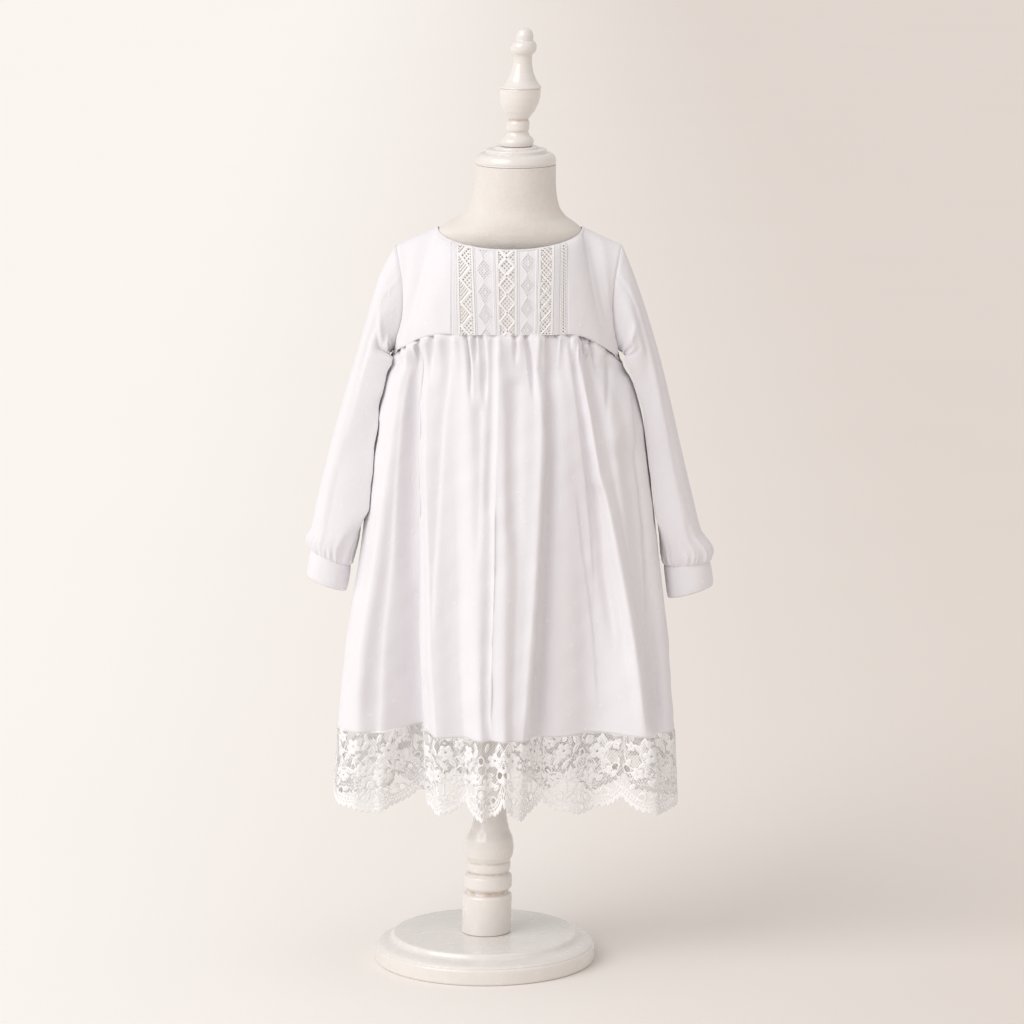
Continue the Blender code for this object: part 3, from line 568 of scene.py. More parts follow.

# %% [markdown]
# ## The finishes
#
# Five finishes dress what is seen first. White cotton has a plain weave, thick-and-thin threads called slubs, and
# the faint creases of use. Lace is plied cotton cord, rougher and whiter. The form is covered in fine linen
# sized with plaster. The stand is wood under ivory paint, darker and tan in its grooves, with a few chips.
# The buttons are small and pearly. The weave follows the cloth's own UV map, so its threads run with the cut.
# The floor, the cream sheet behind the openwork and the sewing thread are plainer; the floor's colour fades from
# light to dark across it, painted light, and the sheet's cream stands in for shade seen through the holes.

# %% White cotton
def finish_cotton():
    finish = Finish("white_cotton", (0.86, 0.85, 0.845), 0.82)
    cloth = finish.cloth()
    across, along, _ = finish.split(cloth)
    thread = 2 * math.pi / 0.00062
    weave = (across * thread).sine() * (along * thread).sine()
    wide = finish.stretched(cloth, (150, 1300, 1))
    tall = finish.stretched(cloth, (1300, 170, 1))
    slub = finish.noise(wide, 1.0, 1.0).between(0.66, 0.8) + finish.noise(tall, 1.0, 1.0).between(0.68, 0.82)
    dots = finish.node("ShaderNodeTexVoronoi", inputs={"Vector": cloth, "Scale": 62.0, "Randomness": 1.0})
    fleck = 1 - dots.between(0.07, 0.14)
    cloudy = finish.noise(cloth, 22.0, 3.0)
    creases = finish.noise(finish.stretched(cloth, (1.6, 1, 1)), 46.0, 4.0, 0.55)
    tone = finish.blend(cloudy, (0.815, 0.795, 0.822), (0.855, 0.835, 0.862))
    finish.set("Base Color", finish.blend(slub * 0.5 + fleck * 0.5, tone, (0.90, 0.89, 0.895)))
    finish.set("Roughness", 0.78 + cloudy * 0.1)
    soft = finish.bump(creases, 0.0013, 0.45)
    raised = finish.bump(slub * 0.5 + fleck * 1.6, 0.0002, 0.6, under=soft)
    finish.set("Normal", finish.bump(weave, 0.00006, 0.45, under=raised))
    finish.set("Sheen Weight", 0.25)
    finish.set("Sheen Roughness", 0.6)
    finish.set("Specular IOR Level", 0.3)
    return finish.material


# %% White lace cord
def finish_lace():
    finish = Finish("white_lace", (0.88, 0.87, 0.86), 0.88)
    cloth = finish.cloth()
    across, along, _ = finish.split(cloth)
    ply = ((across + along) * (2 * math.pi / 0.0007)).sine()
    fuzz = finish.noise(cloth, 1400.0, 2.0)
    cloudy = finish.noise(cloth, 60.0, 2.0)
    tone = finish.blend(cloudy, (0.88, 0.865, 0.865), (0.95, 0.94, 0.94))
    finish.set("Base Color", tone)
    finish.set("Roughness", 0.84 + fuzz * 0.1)
    finish.set("Normal", finish.bump(ply * 0.5 + fuzz, 0.00012, 0.55))
    finish.set("Sheen Weight", 0.2)
    finish.set("Specular IOR Level", 0.3)
    return finish.material


# %% Linen cover of the form
def finish_form():
    finish = Finish("form_linen", (0.80, 0.74, 0.67), 0.86)
    place = finish.place()
    side, deep, up = finish.split(place)
    thread = 2 * math.pi / 0.0009
    weave = (side * thread).sine() * (up * thread).sine()
    plaster = finish.noise(place, 55.0, 5.0, 0.6)
    grain = finish.noise(place, 420.0, 3.0, 0.6)
    tone = finish.blend(plaster, (0.73, 0.68, 0.63), (0.81, 0.77, 0.73))
    finish.set("Base Color", tone)
    finish.set("Roughness", 0.8 + grain * 0.12)
    rough = finish.bump(plaster, 0.0016, 0.6)
    fine = finish.bump(grain, 0.0007, 0.6, under=rough)
    finish.set("Normal", finish.bump(weave, 0.00008, 0.4, under=fine))
    return finish.material


# %% Painted wood
def finish_wood():
    finish = Finish("painted_wood", (0.84, 0.80, 0.755), 0.36)
    place = finish.place()
    groove = finish.node("ShaderNodeAttribute", {"attribute_name": "groove"}, output=2)
    brushed = finish.stretched(place, (14, 14, 260))
    strokes = finish.noise(brushed, 1.0, 4.0, 0.6)
    patches = finish.noise(place, 70.0, 5.0, 0.65)
    chips = finish.noise(place, 260.0, 3.0, 0.6).between(0.66, 0.72) * patches.between(0.56, 0.66)
    paint = finish.blend(patches, (0.75, 0.71, 0.67), (0.84, 0.805, 0.77))
    # A darker, tan colour where a ring lies deep in a groove, patchy along it.
    groove_tone = groove * patches.between(0.34, 0.62)
    groove_toned_paint = finish.blend(groove_tone * 0.75, paint, (0.50, 0.36, 0.25))
    finish.set("Base Color", finish.blend(chips * 0.7, groove_toned_paint, (0.47, 0.33, 0.22)))
    finish.set("Roughness", 0.2 + patches * 0.12 + groove_tone * 0.3)
    soft = finish.bump(patches, 0.0007, 0.35)
    finish.set("Normal", finish.bump(strokes, 0.00025, 0.4, under=soft))
    finish.set("Coat Weight", 0.6)
    finish.set("Coat Roughness", 0.1)
    return finish.material


# %% Pearly buttons
def finish_pearl():
    finish = Finish("pearl_button", (0.86, 0.84, 0.81), 0.22)
    place = finish.place()
    nacre = finish.noise(place, 500.0, 3.0)
    finish.set("Base Color", finish.blend(nacre, (0.82, 0.80, 0.77), (0.90, 0.885, 0.87)))
    finish.set("Normal", finish.bump(nacre, 0.0001, 0.3))
    finish.set("Coat Weight", 0.5)
    return finish.material


# %% Floor, with painted light
def finish_studio():
    finish = Finish("studio_paper", (0.93, 0.87, 0.82), 0.9)
    place = finish.place()
    cloudy = finish.noise(place, 2.0, 3.0)
    # Painted light and shade: the floor is lighter towards the window, on the left, and darker on the far side.
    painted_window_light = finish.blend(cloudy, (0.99, 0.965, 0.925), (1.0, 0.98, 0.94))
    painted_far_shade = finish.blend(cloudy, (0.755, 0.70, 0.655), (0.775, 0.72, 0.675))
    across = {"Value": finish.split(place)[0], "From Min": -0.7, "From Max": 0.75}
    fade = finish.node("ShaderNodeMapRange", {"interpolation_type": "SMOOTHSTEP"}, across)
    finish.set("Base Color", finish.blend(fade, painted_window_light, painted_far_shade))
    finish.set("Specular IOR Level", 0.1)
    return finish.material


# %% Cream sheet, painted shade behind the openwork
def finish_shade_sheet():
    # Painted shade: this warm cream stands in for the shaded form seen through the holes of the lace.
    finish = Finish("cream_painted_shade", (0.90, 0.83, 0.76), 0.9)
    place = finish.place()
    cloudy = finish.noise(place, 120.0, 3.0)
    finish.set("Base Color", finish.blend(cloudy, (0.86, 0.78, 0.71), (0.92, 0.86, 0.79)))
    return finish.material


# %% Sewing thread
def finish_thread():
    finish = Finish("sewing_thread", (0.90, 0.89, 0.885), 0.6)
    place = finish.place()
    finish.set("Roughness", 0.55 + finish.noise(place, 900.0, 2.0) * 0.2)
    return finish.material


cotton, lace_cord, thread, shade_cloth = finish_cotton(), finish_lace(), finish_thread(), finish_shade_sheet()
form_linen, painted_wood, pearl = finish_form(), finish_wood(), finish_pearl()


def add_floor():
    corners = np.array([[(x, y, 0.0) for x in (-30.0, 30.0)] for y in (30.0, -30.0)]) / MM
    floor = make_piece("floor", sheet_mesh("floor", corners))
    floor.data.materials.append(finish_studio())


add_floor()
print("finishes:", [m.name for m in bpy.data.materials][-6:])

# %% [markdown]
# ## The skirt
#
# Each half is one sheet, read from its folds on a fine grid and then creased and slightly rumpled. Rows lie
# closer together near the seam, where the gathers are small. A thin wall is added last, so that the hem shows
# the cloth's edge.

# %% Skirt panels
pieces = {}
SKIRT_CLOTH = 0.7
HEM_LAP = 1.004


def skirt_points(panel, creases, columns, rows, seed):
    across = np.linspace(0, 1, columns + 1)[::-panel.facing]
    levels = np.append(np.linspace(0, 1, rows + 1) ** 1.25, HEM_LAP)
    plain = np.array([panel.row(across, down) for down in levels])
    keep_side = smoothstep(np.minimum(across, 1 - across)[None, :] / 0.012)[..., None]
    points = plain * (1 - keep_side) + creased(plain, creases) * keep_side
    loose = smoothstep(levels / 0.05)[:, None, None] * keep_side
    return points + (rumple(points, seed, 30.0, 0.45) - points) * loose


def tucked_into_seam(points):
    """Carries the gathered edge up behind the yoke's lower edge, where the seam holds it."""
    out = normals_of(points)[0]
    turn = points[0] - out * 0.6 + (0.0, 0.0, 0.7)
    inner = points[0] - out * 2.2 + (0.0, 0.0, 4.5)
    return np.concatenate([inner[None], turn[None], points])


def sew(node, points, thickness, wraps=False):
    """One cotton piece of the gown, named for the solid that it stands for."""
    name = f"gown_{node}"
    pieces[node] = make_piece(name, sheet_mesh(name, points, wraps))
    give_thickness(pieces[node], thickness)
    dress(pieces[node], cotton, "white_cotton", node)


skirt_front_points = tucked_into_seam(skirt_points(front_panel, FRONT_CREASES, 370, 78, 21))
skirt_back_points = tucked_into_seam(skirt_points(back_panel, BACK_CREASES, 240, 54, 22))
sew("skirt_front", skirt_front_points, SKIRT_CLOTH)
sew("skirt_back", skirt_back_points, SKIRT_CLOTH)

# %% [markdown]
# ## The yoke
#
# The yoke is cut in flat widths and only bends over the chest and shoulders. Each panel runs from its seam with
# the skirt up to the neck or the shoulder, upright low down and rolling over towards the top. Read on a fine
# grid, the front falls into two plain sides and a centre panel, where lace is let in. Real insertion lace has
# the cloth cut away behind it, so the centre panel is built as narrow bands of cloth with fine tucks, and the
# lace strips close the spaces between them. A cream sheet close behind them shows through the holes of the lace;
# its colour is painted shade.

# %% Edges of the yoke
NECK_CENTRE_X, NECK_HALF_WIDTH, NECK_POINT_Z = 25.5, 71.4, 746.5
NECK_FRONT_DEPTH, NECK_FRONT_DROP = 52.0, 16.5
NECK_BACK_DEPTH, NECK_BACK_DROP = 50.0, 8.0
SHOULDER_Z = 728.6
ARMHOLE_HALF_DEPTH, ARMHOLE_BOW = 25.0, 8.6
PANEL_LEFT_X, PANEL_RIGHT_X = -32.0, 82.0
YOKE_CLOTH, OVERHANG = 0.8, 1.7


def armhole(side, facing, height):
    """The armhole's edge, as points for heights from 0 at the armpit to 1 at the shoulder."""
    place = SIDES[side]
    straight = place.armpit_x + (place.shoulder_x - place.armpit_x) * height
    x = straight - side * ARMHOLE_BOW * np.sin(math.pi * height)
    gap = SEAM_GAP + (SHOULDER_GAP - SEAM_GAP) * height
    y = facing * (gap / 2 + 2 * ARMHOLE_HALF_DEPTH * np.sqrt(height * (1 - height)))
    z = place.armpit_z + (SHOULDER_Z - place.armpit_z) * height
    return np.column_stack([x, y, z])


def neckline(facing, angle):
    """The neck edge, from the left neck point (0) to the right one (pi)."""
    depth, drop = NECK_BACK_DEPTH, NECK_BACK_DROP
    if facing == FRONT:
        depth, drop = NECK_FRONT_DEPTH, NECK_FRONT_DROP
    x = NECK_CENTRE_X - NECK_HALF_WIDTH * np.cos(angle)
    y = facing * (SHOULDER_GAP / 2 + depth * np.sin(angle))
    z = NECK_POINT_Z - drop * np.sin(angle)
    return np.column_stack([x, y, z])


def neck_angle(x):
    return math.acos((NECK_CENTRE_X - x) / NECK_HALF_WIDTH)


def patch(bottom, top, rows, left=None, right=None):
    """A surface from a bottom edge to a top edge, with the side edges given or free."""
    height = (1 - np.cos(np.linspace(0, math.pi, rows + 1))) / 2
    roll = 1 - np.sqrt(1 - height**2)
    share = np.column_stack([height, roll, height])[:, None, :]
    points = bottom[None] * (1 - share) + top[None] * share
    reach = 1.0 if left is None or right is None else 0.5
    across = np.linspace(0, 1, len(bottom))
    bends = []
    if left is not None:
        bends.append((left(height) - points[:, 0], np.clip(1 - across / reach, 0, 1)))
    if right is not None:
        bends.append((right(height) - points[:, -1], np.clip(1 - (1 - across) / reach, 0, 1)))
    for bend, weight in bends:
        points = points + bend[:, None, :] * (weight**2)[None, :, None]
    return points


def seam_stretch(facing, from_x, to_x, columns):
    ends = [plan_angle(x, SEAM_LEFT, SEAM_RIGHT) for x in (from_x, to_x)]
    return seam_points(facing, np.linspace(*ends, columns + 1))


def shoulder_line(side, facing, columns):
    tip = armhole(side, facing, np.array([1.0]))[0]
    neck = neckline(facing, np.array([0.0 if side == LEFT else math.pi]))[0]
    return tip + (neck - tip) * np.linspace(0, 1, columns + 1)[:-1, None]


def front_side(side, edge_x, columns, rows):
    """A plain side of the front yoke, from the armhole to the upright edge at edge_x."""
    limits = sorted((SIDES[side].armpit_x, edge_x))
    bottom = seam_stretch(FRONT, *limits, columns)[::-side]
    neck_columns = columns // 2
    start = 0.0 if side == LEFT else math.pi
    neck = neckline(FRONT, np.linspace(start, neck_angle(edge_x), neck_columns + 1))
    top = np.concatenate([shoulder_line(side, FRONT, columns - neck_columns), neck])
    return patch(bottom, top, rows, lambda height: armhole(side, FRONT, height))[:, ::-side]


def front_centre(from_x, to_x, columns, rows):
    bottom = seam_stretch(FRONT, from_x, to_x, columns)
    top = neckline(FRONT, np.linspace(neck_angle(from_x), neck_angle(to_x), columns + 1))
    return patch(bottom, top, rows)


def whole_back(columns, rows):
    bottom = seam_points(BACK, np.linspace(0, math.pi, columns + 1))
    shoulder_columns = columns // 4
    neck = neckline(BACK, np.linspace(0, math.pi, columns + 1 - 2 * shoulder_columns))
    left, right = (shoulder_line(side, BACK, shoulder_columns) for side in (LEFT, RIGHT))
    top = np.concatenate([left, neck, right[::-1]])
    return patch(bottom, top, rows, lambda h: armhole(LEFT, BACK, h), lambda h: armhole(RIGHT, BACK, h))


# %% [markdown]
# A crease in the yoke is written as two ends on the cloth and a height, in shares of the panel: 0 to 1 across
# and 0 to 1 up. Seams pull a plain panel a little: the cloth dips along each seam and puffs beside it.

# %% Plain yoke panels
YokeCrease = namedtuple("YokeCrease", "height width start end")


def yoke_creased(points, creases):
    rows, columns = points.shape[:2]
    across, up = np.meshgrid(np.linspace(0, 1, columns), np.linspace(0, 1, rows))
    push = np.zeros((rows, columns))
    for crease in creases:
        start, way = np.array(crease.start), np.array(crease.end) - crease.start
        length = np.linalg.norm(way)
        along = ((across - start[0]) * way[0] + (up - start[1]) * way[1]) / length**2
        off = np.abs((across - start[0]) * way[1] - (up - start[1]) * way[0]) / length / crease.width
        push += crease.height * np.exp(-off**2) * smoothstep((along + 0.15) / 0.4) * smoothstep((1.15 - along) / 0.5)
    return points + outwards(points) * push[..., None]


def outwards(points):
    """Normals of a yoke grid, whose rows run upwards and whose columns run to +X or +Y round the body."""
    return -normals_of(points)


def seam_pull(points, depth, reach, edges):
    """Lets the cloth dip along its left or right edge ("l", "r"), as a sewn seam does."""
    steps = np.linalg.norm(np.diff(points, axis=1), axis=2).mean(axis=0)
    from_left = np.concatenate([[0.0], np.cumsum(steps)])
    dip = np.zeros(len(from_left))
    for edge in edges:
        gap = from_left if edge == "l" else from_left[-1] - from_left
        dip = np.maximum(dip, np.exp(-(gap / reach) ** 2)) - 0.35 * np.exp(-((gap - 2.6 * reach) / reach) ** 2)
    return points - outwards(points) * (dip * depth)[:, None]


def hangs_over(points):
    """One more row along the lower edge, which lies over the top of the skirt. Rows run upwards."""
    lower = points[0] + unit(points[0] - points[2]) * OVERHANG + outwards(points)[0] * 0.05
    return np.concatenate([lower[None], points])


LEFT_YOKE_CREASES = [
    YokeCrease(1.3, 0.05, (0.02, 0.30), (0.55, 0.02)),
    YokeCrease(-1.2, 0.05, (0.02, 0.18), (0.50, -0.10)),
    YokeCrease(0.9, 0.06, (0.05, 0.55), (0.45, 0.15)),
    YokeCrease(1.1, 0.09, (0.30, 0.95), (0.12, 0.35)),
    YokeCrease(-0.8, 0.06, (0.45, 0.92), (0.30, 0.30)),
]
RIGHT_YOKE_CREASES = [
    YokeCrease(1.4, 0.05, (0.98, 0.26), (0.40, 0.03)),
    YokeCrease(-1.3, 0.045, (0.98, 0.16), (0.45, -0.06)),
    YokeCrease(1, 0.05, (0.96, 0.42), (0.50, 0.16)),
    YokeCrease(1.2, 0.08, (0.70, 0.95), (0.90, 0.40)),
    YokeCrease(-0.9, 0.06, (0.55, 0.92), (0.70, 0.34)),
]
yoke_grids = {}


def plain_yoke(node, points, creases, seed, edge):
    points = yoke_creased(points, creases)
    points = points - (rumple(points, seed, 24.0, 0.3) - points)
    yoke_grids[node] = hangs_over(seam_pull(points, 0.5, 1.3, edge))
    sew(node, yoke_grids[node][::-1], YOKE_CLOTH)


plain_yoke("yoke_front_left", front_side(LEFT, PANEL_LEFT_X - 0.1, 64, 72), LEFT_YOKE_CREASES, 31, "l")
plain_yoke("yoke_front_right", front_side(RIGHT, PANEL_RIGHT_X + 0.1, 64, 72), RIGHT_YOKE_CREASES, 32, "r")

# %% [markdown]
# ## Lace as real openwork
#
# Lace is mostly holes, and light goes through it, so a picture of lace on a plain sheet never looks right. Here
# each lace is first drawn flat, as a signed distance: a number at each place that is below zero in thread and
# above zero in a hole. Such shapes are easy to join (take the smaller number) and to cut (take the larger). The
# drawing is then traced with marching squares, which walks a fine grid and keeps only the parts that are
# thread, and the flat mesh is laid on the cloth's surface, thick cords standing higher than the thin net.

# %% Flat shapes as signed distances
def disc(x, y, centre, radius):
    return np.hypot(x - centre[0], y - centre[1]) - radius


def oval(x, y, centre, half_width, half_height, turn=0.0):
    """An ellipse, close enough to a true distance for small shapes."""
    c, s = math.cos(turn), math.sin(turn)
    u, v = (x - centre[0]) * c + (y - centre[1]) * s, (y - centre[1]) * c - (x - centre[0]) * s
    rate = np.hypot(u / half_width, v / half_height)
    return (rate - 1) * min(half_width, half_height)


def leaf(x, y, foot, tip, width):
    """A pointed leaf between two points: where two discs overlap."""
    foot, tip = np.array(foot, float), np.array(tip, float)
    length = np.linalg.norm(tip - foot)
    way = (tip - foot) / length
    side = np.array([-way[1], way[0]])
    half, bulge = length / 2, width / 2
    radius = (half**2 + bulge**2) / (2 * bulge)
    middle = (foot + tip) / 2
    offset = side * (radius - bulge)
    return np.maximum(disc(x, y, middle + offset, radius), disc(x, y, middle - offset, radius))


def cord(x, y, line, radius):
    """A cord along a line of points."""
    best = np.full(np.shape(x), 1e3)
    for start, end in zip(line[:-1], line[1:]):
        way = (end[0] - start[0], end[1] - start[1])
        size = way[0] ** 2 + way[1] ** 2 + 1e-9
        share = np.clip(((x - start[0]) * way[0] + (y - start[1]) * way[1]) / size, 0, 1)
        best = np.minimum(best, np.hypot(x - start[0] - share * way[0], y - start[1] - share * way[1]))
    return best - radius


def arc(centre, radius, start, end, count=12, squash=1.0):
    """Points of an arc. Angles are in degrees, 0 to the right and 90 downwards."""
    angles = np.radians(np.linspace(start, end, count))
    return [(centre[0] + radius * math.cos(a), centre[1] + squash * radius * math.sin(a)) for a in angles]


# %% Marching squares
# For each of the 16 ways in which a cell's corners can be thread: the outline of its thread part. 0 to 3 are the
# corners, anticlockwise, and 4 to 7 are the crossings on the sides that follow them.
CELL_OUTLINES = [
    [], [0, 4, 7], [1, 5, 4], [0, 1, 5, 7], [2, 6, 5], [0, 4, 5, 2, 6, 7], [1, 2, 6, 4], [0, 1, 2, 6, 7],
    [3, 7, 6], [0, 4, 6, 3], [1, 5, 6, 3, 7, 4], [0, 1, 5, 6, 3], [2, 3, 7, 5], [0, 4, 5, 2, 3],
    [1, 2, 3, 7, 4], [0, 1, 2, 3],
]


def crossing_share(first, second):
    """Where the value passes zero between two grid places, kept off the ends so that no face is too thin."""
    gap = first - second
    return np.clip(first / np.where(np.abs(gap) < 1e-9, 1e-9, gap), 0.12, 0.88)


def trace(x, y, value):
    """The parts of a grid where value is below zero, as flat points and faces. x and y run with the grid."""
    rows, columns = value.shape
    grid = np.stack([x, y], axis=-1)
    beside = grid[:, :-1] + np.diff(grid, axis=1) * crossing_share(value[:, :-1], value[:, 1:])[..., None]
    above = grid[:-1] + np.diff(grid, axis=0) * crossing_share(value[:-1], value[1:])[..., None]
    flat = np.concatenate([part.reshape(-1, 2) for part in (grid, beside, above)])
    corner = np.arange(rows * columns).reshape(rows, columns)
    level = rows * columns + np.arange(rows * (columns - 1)).reshape(rows, columns - 1)
    upright = rows * columns + rows * (columns - 1) + np.arange((rows - 1) * columns).reshape(rows - 1, columns)
    places = np.stack([corner[:-1, :-1], corner[:-1, 1:], corner[1:, 1:], corner[1:, :-1],
                       level[:-1], upright[:, 1:], level[1:], upright[:, :-1]], axis=-1).reshape(-1, 8)
    inside = value < 0
    kind = (inside[:-1, :-1] + 2 * inside[:-1, 1:] + 4 * inside[1:, 1:] + 8 * inside[1:, :-1]).ravel()
    faces = []
    for case, outline in enumerate(CELL_OUTLINES):
        if outline:
            faces += places[kind == case][:, outline].tolist()
    used = np.unique(np.concatenate([np.array(f) for f in faces])) if faces else np.array([], int)
    renumber = np.full(len(flat), -1)
    renumber[used] = np.arange(len(used))
    faces = [renumber[f].tolist() for f in faces]
    return flat[used], faces


class Ground:
    """A surface that lace is laid on, read at any place in millimetres across and down."""

    def __init__(self, points, across, down):
        self.points, self.across, self.down = points, across, down
        self.normals = normals_of(points)

    def at(self, x, y, lift):
        column = np.interp(x, self.across, np.arange(len(self.across)))
        row = np.interp(y, self.down, np.arange(len(self.down)))
        i = np.clip(row.astype(int), 0, len(self.down) - 2)
        j = np.clip(column.astype(int), 0, len(self.across) - 2)
        u, v = (row - i)[:, None], (column - j)[:, None]

        def read(grid):
            return ((1 - u) * ((1 - v) * grid[i, j] + v * grid[i, j + 1])
                    + u * ((1 - v) * grid[i + 1, j] + v * grid[i + 1, j + 1]))

        return read(self.points) + unit(read(self.normals)) * lift[:, None]


Net = namedtuple("Net", "spacing slope thread step")


def net_threads(net, width, height, allowed):
    """Two sets of slanted flat threads, as flat points and faces, kept only where allowed says so."""
    levels = np.arange(0.0, height + net.step, net.step)
    first, last = -net.slope * height, width + net.slope * height
    starts = np.arange(first, last, net.spacing)
    points, faces = [], []
    for lean in (-net.slope, net.slope):
        middle = starts[:, None] + lean * levels[None, :]
        centre_x = (middle[:, :-1] + middle[:, 1:]) / 2
        centre_y = np.broadcast_to((levels[:-1] + levels[1:]) / 2, centre_x.shape)
        line, step = np.nonzero(allowed(centre_x, centre_y))
        offset = len(faces) * 4
        corners = [(middle[line, step] - net.thread / 2, levels[step]),
                   (middle[line, step] + net.thread / 2, levels[step]),
                   (middle[line, step + 1] + net.thread / 2, levels[step + 1]),
                   (middle[line, step + 1] - net.thread / 2, levels[step + 1])]
        points.append(np.stack([np.column_stack(corner) for corner in corners], axis=1).reshape(-1, 2))
        faces += (offset + np.arange(len(line) * 4).reshape(-1, 4)).tolist()
    return np.concatenate(points), faces


def lace_mesh(name, ground, drawing, pitch, width, height, net=None):
    """Draws a lace on a grid of that pitch, traces it and lays it on its ground, with a net under its motifs."""
    columns, rows = int(round(width / pitch)), int(round(height / pitch))
    x, y = np.meshgrid(np.linspace(0, width, columns + 1), np.linspace(0, height, rows + 1))
    lace = drawing(x, y)
    flat, faces = trace(x, y, lace.value)

    def nearest(grid, places):
        row = np.clip(np.round(places[..., 1] / height * rows).astype(int), 0, rows)
        column = np.clip(np.round(places[..., 0] / width * columns).astype(int), 0, columns)
        return grid[row, column]

    raised = nearest(lace.lift, flat)
    cover = float((lace.value < 0).mean())
    if net:

        def allowed(net_x, net_y):
            places = np.stack([net_x, net_y], axis=-1)
            inside = (net_x > 0) & (net_x < width) & (net_y < height)
            return inside & (nearest(lace.net, places) < 0) & (nearest(lace.value, places) > -0.45)

        threads, net_faces = net_threads(net, width, height, allowed)
        faces += (np.array(net_faces) + len(flat)).tolist()
        flat = np.concatenate([flat, threads])
        raised = np.concatenate([raised, np.full(len(threads), -0.12)])
        cover += len(net_faces) * net.thread * net.step / (width * height)
    points = ground.at(flat[:, 0], flat[:, 1], raised)
    mesh = bpy.data.meshes.new(name)
    mesh.from_pydata((points * MM).tolist(), [], [face[::-1] for face in faces])
    set_uv(mesh, flat * MM)
    print(f"{name}: thread covers {cover:.0%} of its {width:.0f} by {height:.0f} mm")
    return mesh, cover

# %% [markdown]
# ## The lace flounce
#
# The flounce is a corded cotton lace. Its net is a fine diamond mesh. On it lie five-petalled flowers, pointed
# leaves, scrolling stems and loops, and its lower edge runs in scallops: a band with rows of eyelets, then a
# line of small round picots. One repeat is drawn once and mirrored for its neighbour, and every drawing
# function below works on whole grids at once, so one repeat or twelve cost the same few lines.

# %% Motifs
BEAD_PITCH = 2.5


class Drawing:
    """A lace under way on one grid: its signed distance and how high its thread stands."""

    def __init__(self, x, y):
        self.x, self.y = x, y
        self.value = np.full(x.shape, 9.0)
        self.lift = np.zeros(x.shape)
        self.net = np.full(x.shape, -9.0)

    def add(self, shape, height, soft=1.0):
        self.value = np.minimum(self.value, shape)
        self.lift = np.maximum(self.lift, height * smoothstep(-shape / soft + 0.35))

    def cut(self, shape):
        self.value = np.maximum(self.value, -shape)
        self.net = np.maximum(self.net, -shape)

    def flower(self, centre, size, turn):
        """Five petals, each with a cut vein, round an open ring."""
        for i in range(5):
            angle = turn + 2 * math.pi * i / 5
            way = np.array((math.cos(angle), math.sin(angle))) * size
            middle = centre + 0.56 * way
            self.add(oval(self.x, self.y, middle, 0.45 * size, 0.37 * size, angle), 1.0, 1.3)
            self.cut(cord(self.x, self.y, (centre + 0.34 * way, middle), 0.26))
        self.add(np.abs(disc(self.x, self.y, centre, 0.2 * size)) - 0.45, 1.3)
        self.cut(disc(self.x, self.y, centre, 0.2 * size - 0.55))

    def leaf(self, foot, tip, width):
        self.add(leaf(self.x, self.y, foot, tip, width), 0.8, 1.2)
        way = np.array(tip) - foot
        self.cut(cord(self.x, self.y, (foot + 0.25 * way, foot + 0.72 * way), 0.3))

    def stem(self, line):
        self.add(cord(self.x, self.y, line, 0.75), 0.75, 0.6)

    def loop(self, centre, half_width, half_height, turn=0.0, thread=0.95):
        ring = oval(self.x, self.y, centre, half_width, half_height, turn)
        self.cut(ring)
        self.add(np.abs(ring + thread * 0.4) - thread * 0.7, 0.9, 0.6)

    def beaded_stem(self, line):
        """A broad stem with a row of holes down its middle."""
        self.add(cord(self.x, self.y, line, 1.9), 0.55, 0.8)
        line = np.array(line, float)
        along = arc_lengths(line)
        for place in np.arange(BEAD_PITCH, along[-1] - BEAD_PITCH / 2, BEAD_PITCH):
            centre = (np.interp(place, along, line[:, 0]), np.interp(place, along, line[:, 1]))
            self.cut(disc(self.x, self.y, centre, 0.78))

    def eyelets(self, along, off, pitch, rows, radius):
        for number, row in enumerate(rows):
            place = (along + pitch / 2 * (number % 2)) % pitch - pitch / 2
            self.cut(np.hypot(place, off - row) - radius)


# %% One repeat of the flounce
LACE_HEIGHT = 84.0
LACE_REPEATS = 6
SCALLOP_DEPTH = 18.0
BAND = 8.6
FLOWERS = [
    (-19.5, 16, 8.2, 0.3), (16.5, 21, 8.6, 1), (-11, 40.5, 7.4, 0.7), (8.5, 46, 8, 0.1), (-34, 8.5, 5.6, 0.5),
    (31, 39.5, 6.8, 1.3), (-30, 46.5, 6.6, 0.2), (36.5, 12, 5.2, 0.9),
]
LEAVES = [
    (-30, 20, -40, 27, 5), (-22, 22, -30, 31, 5.4), (-14, 25, -21, 35, 5.2), (-10, 20, -3, 9, 5.6), (5, 13, 9, 3, 5),
    (-5, 12, -8, 3, 4.6), (7, 35, 15, 37, 4.6), (20, 28, 30, 32, 5.2), (24, 18, 33, 9, 5.6), (18, 13, 21, 4, 4.8),
    (1, 38, -4, 46, 4.8), (15, 52, 22, 45, 5), (-19, 44, -27, 39, 5.2), (-34, 52, -41, 58, 4.6),
    (33, 50, 40, 56, 4.6), (-23, 58, -31, 62, 4.4), (23, 58, 31, 62, 4.4), (-26, 66, -34, 67, 4), (26, 66, 34, 67, 4),
    (-3, 28, -10, 31, 4.2), (38, 24, 42, 33, 4.6), (-12, 60, -18, 66, 4.2), (12, 60, 18, 66, 4.2),
    (-6, 66, -8, 72, 3.6), (6, 66, 8, 72, 3.6), (-39, 62, -36, 69, 4), (38, 61, 37, 69, 4),
]


def scallop_reach(share):
    """How far down the lace reaches. share is -1 to 1 across one repeat."""
    lobe = np.abs(np.cos(share * math.pi / 2)) ** 0.85
    small = np.abs(np.cos(share * math.pi * 1.5)) ** 0.7
    return LACE_HEIGHT - 2.6 - SCALLOP_DEPTH * (1 - lobe) + 3.0 * (small - 1)


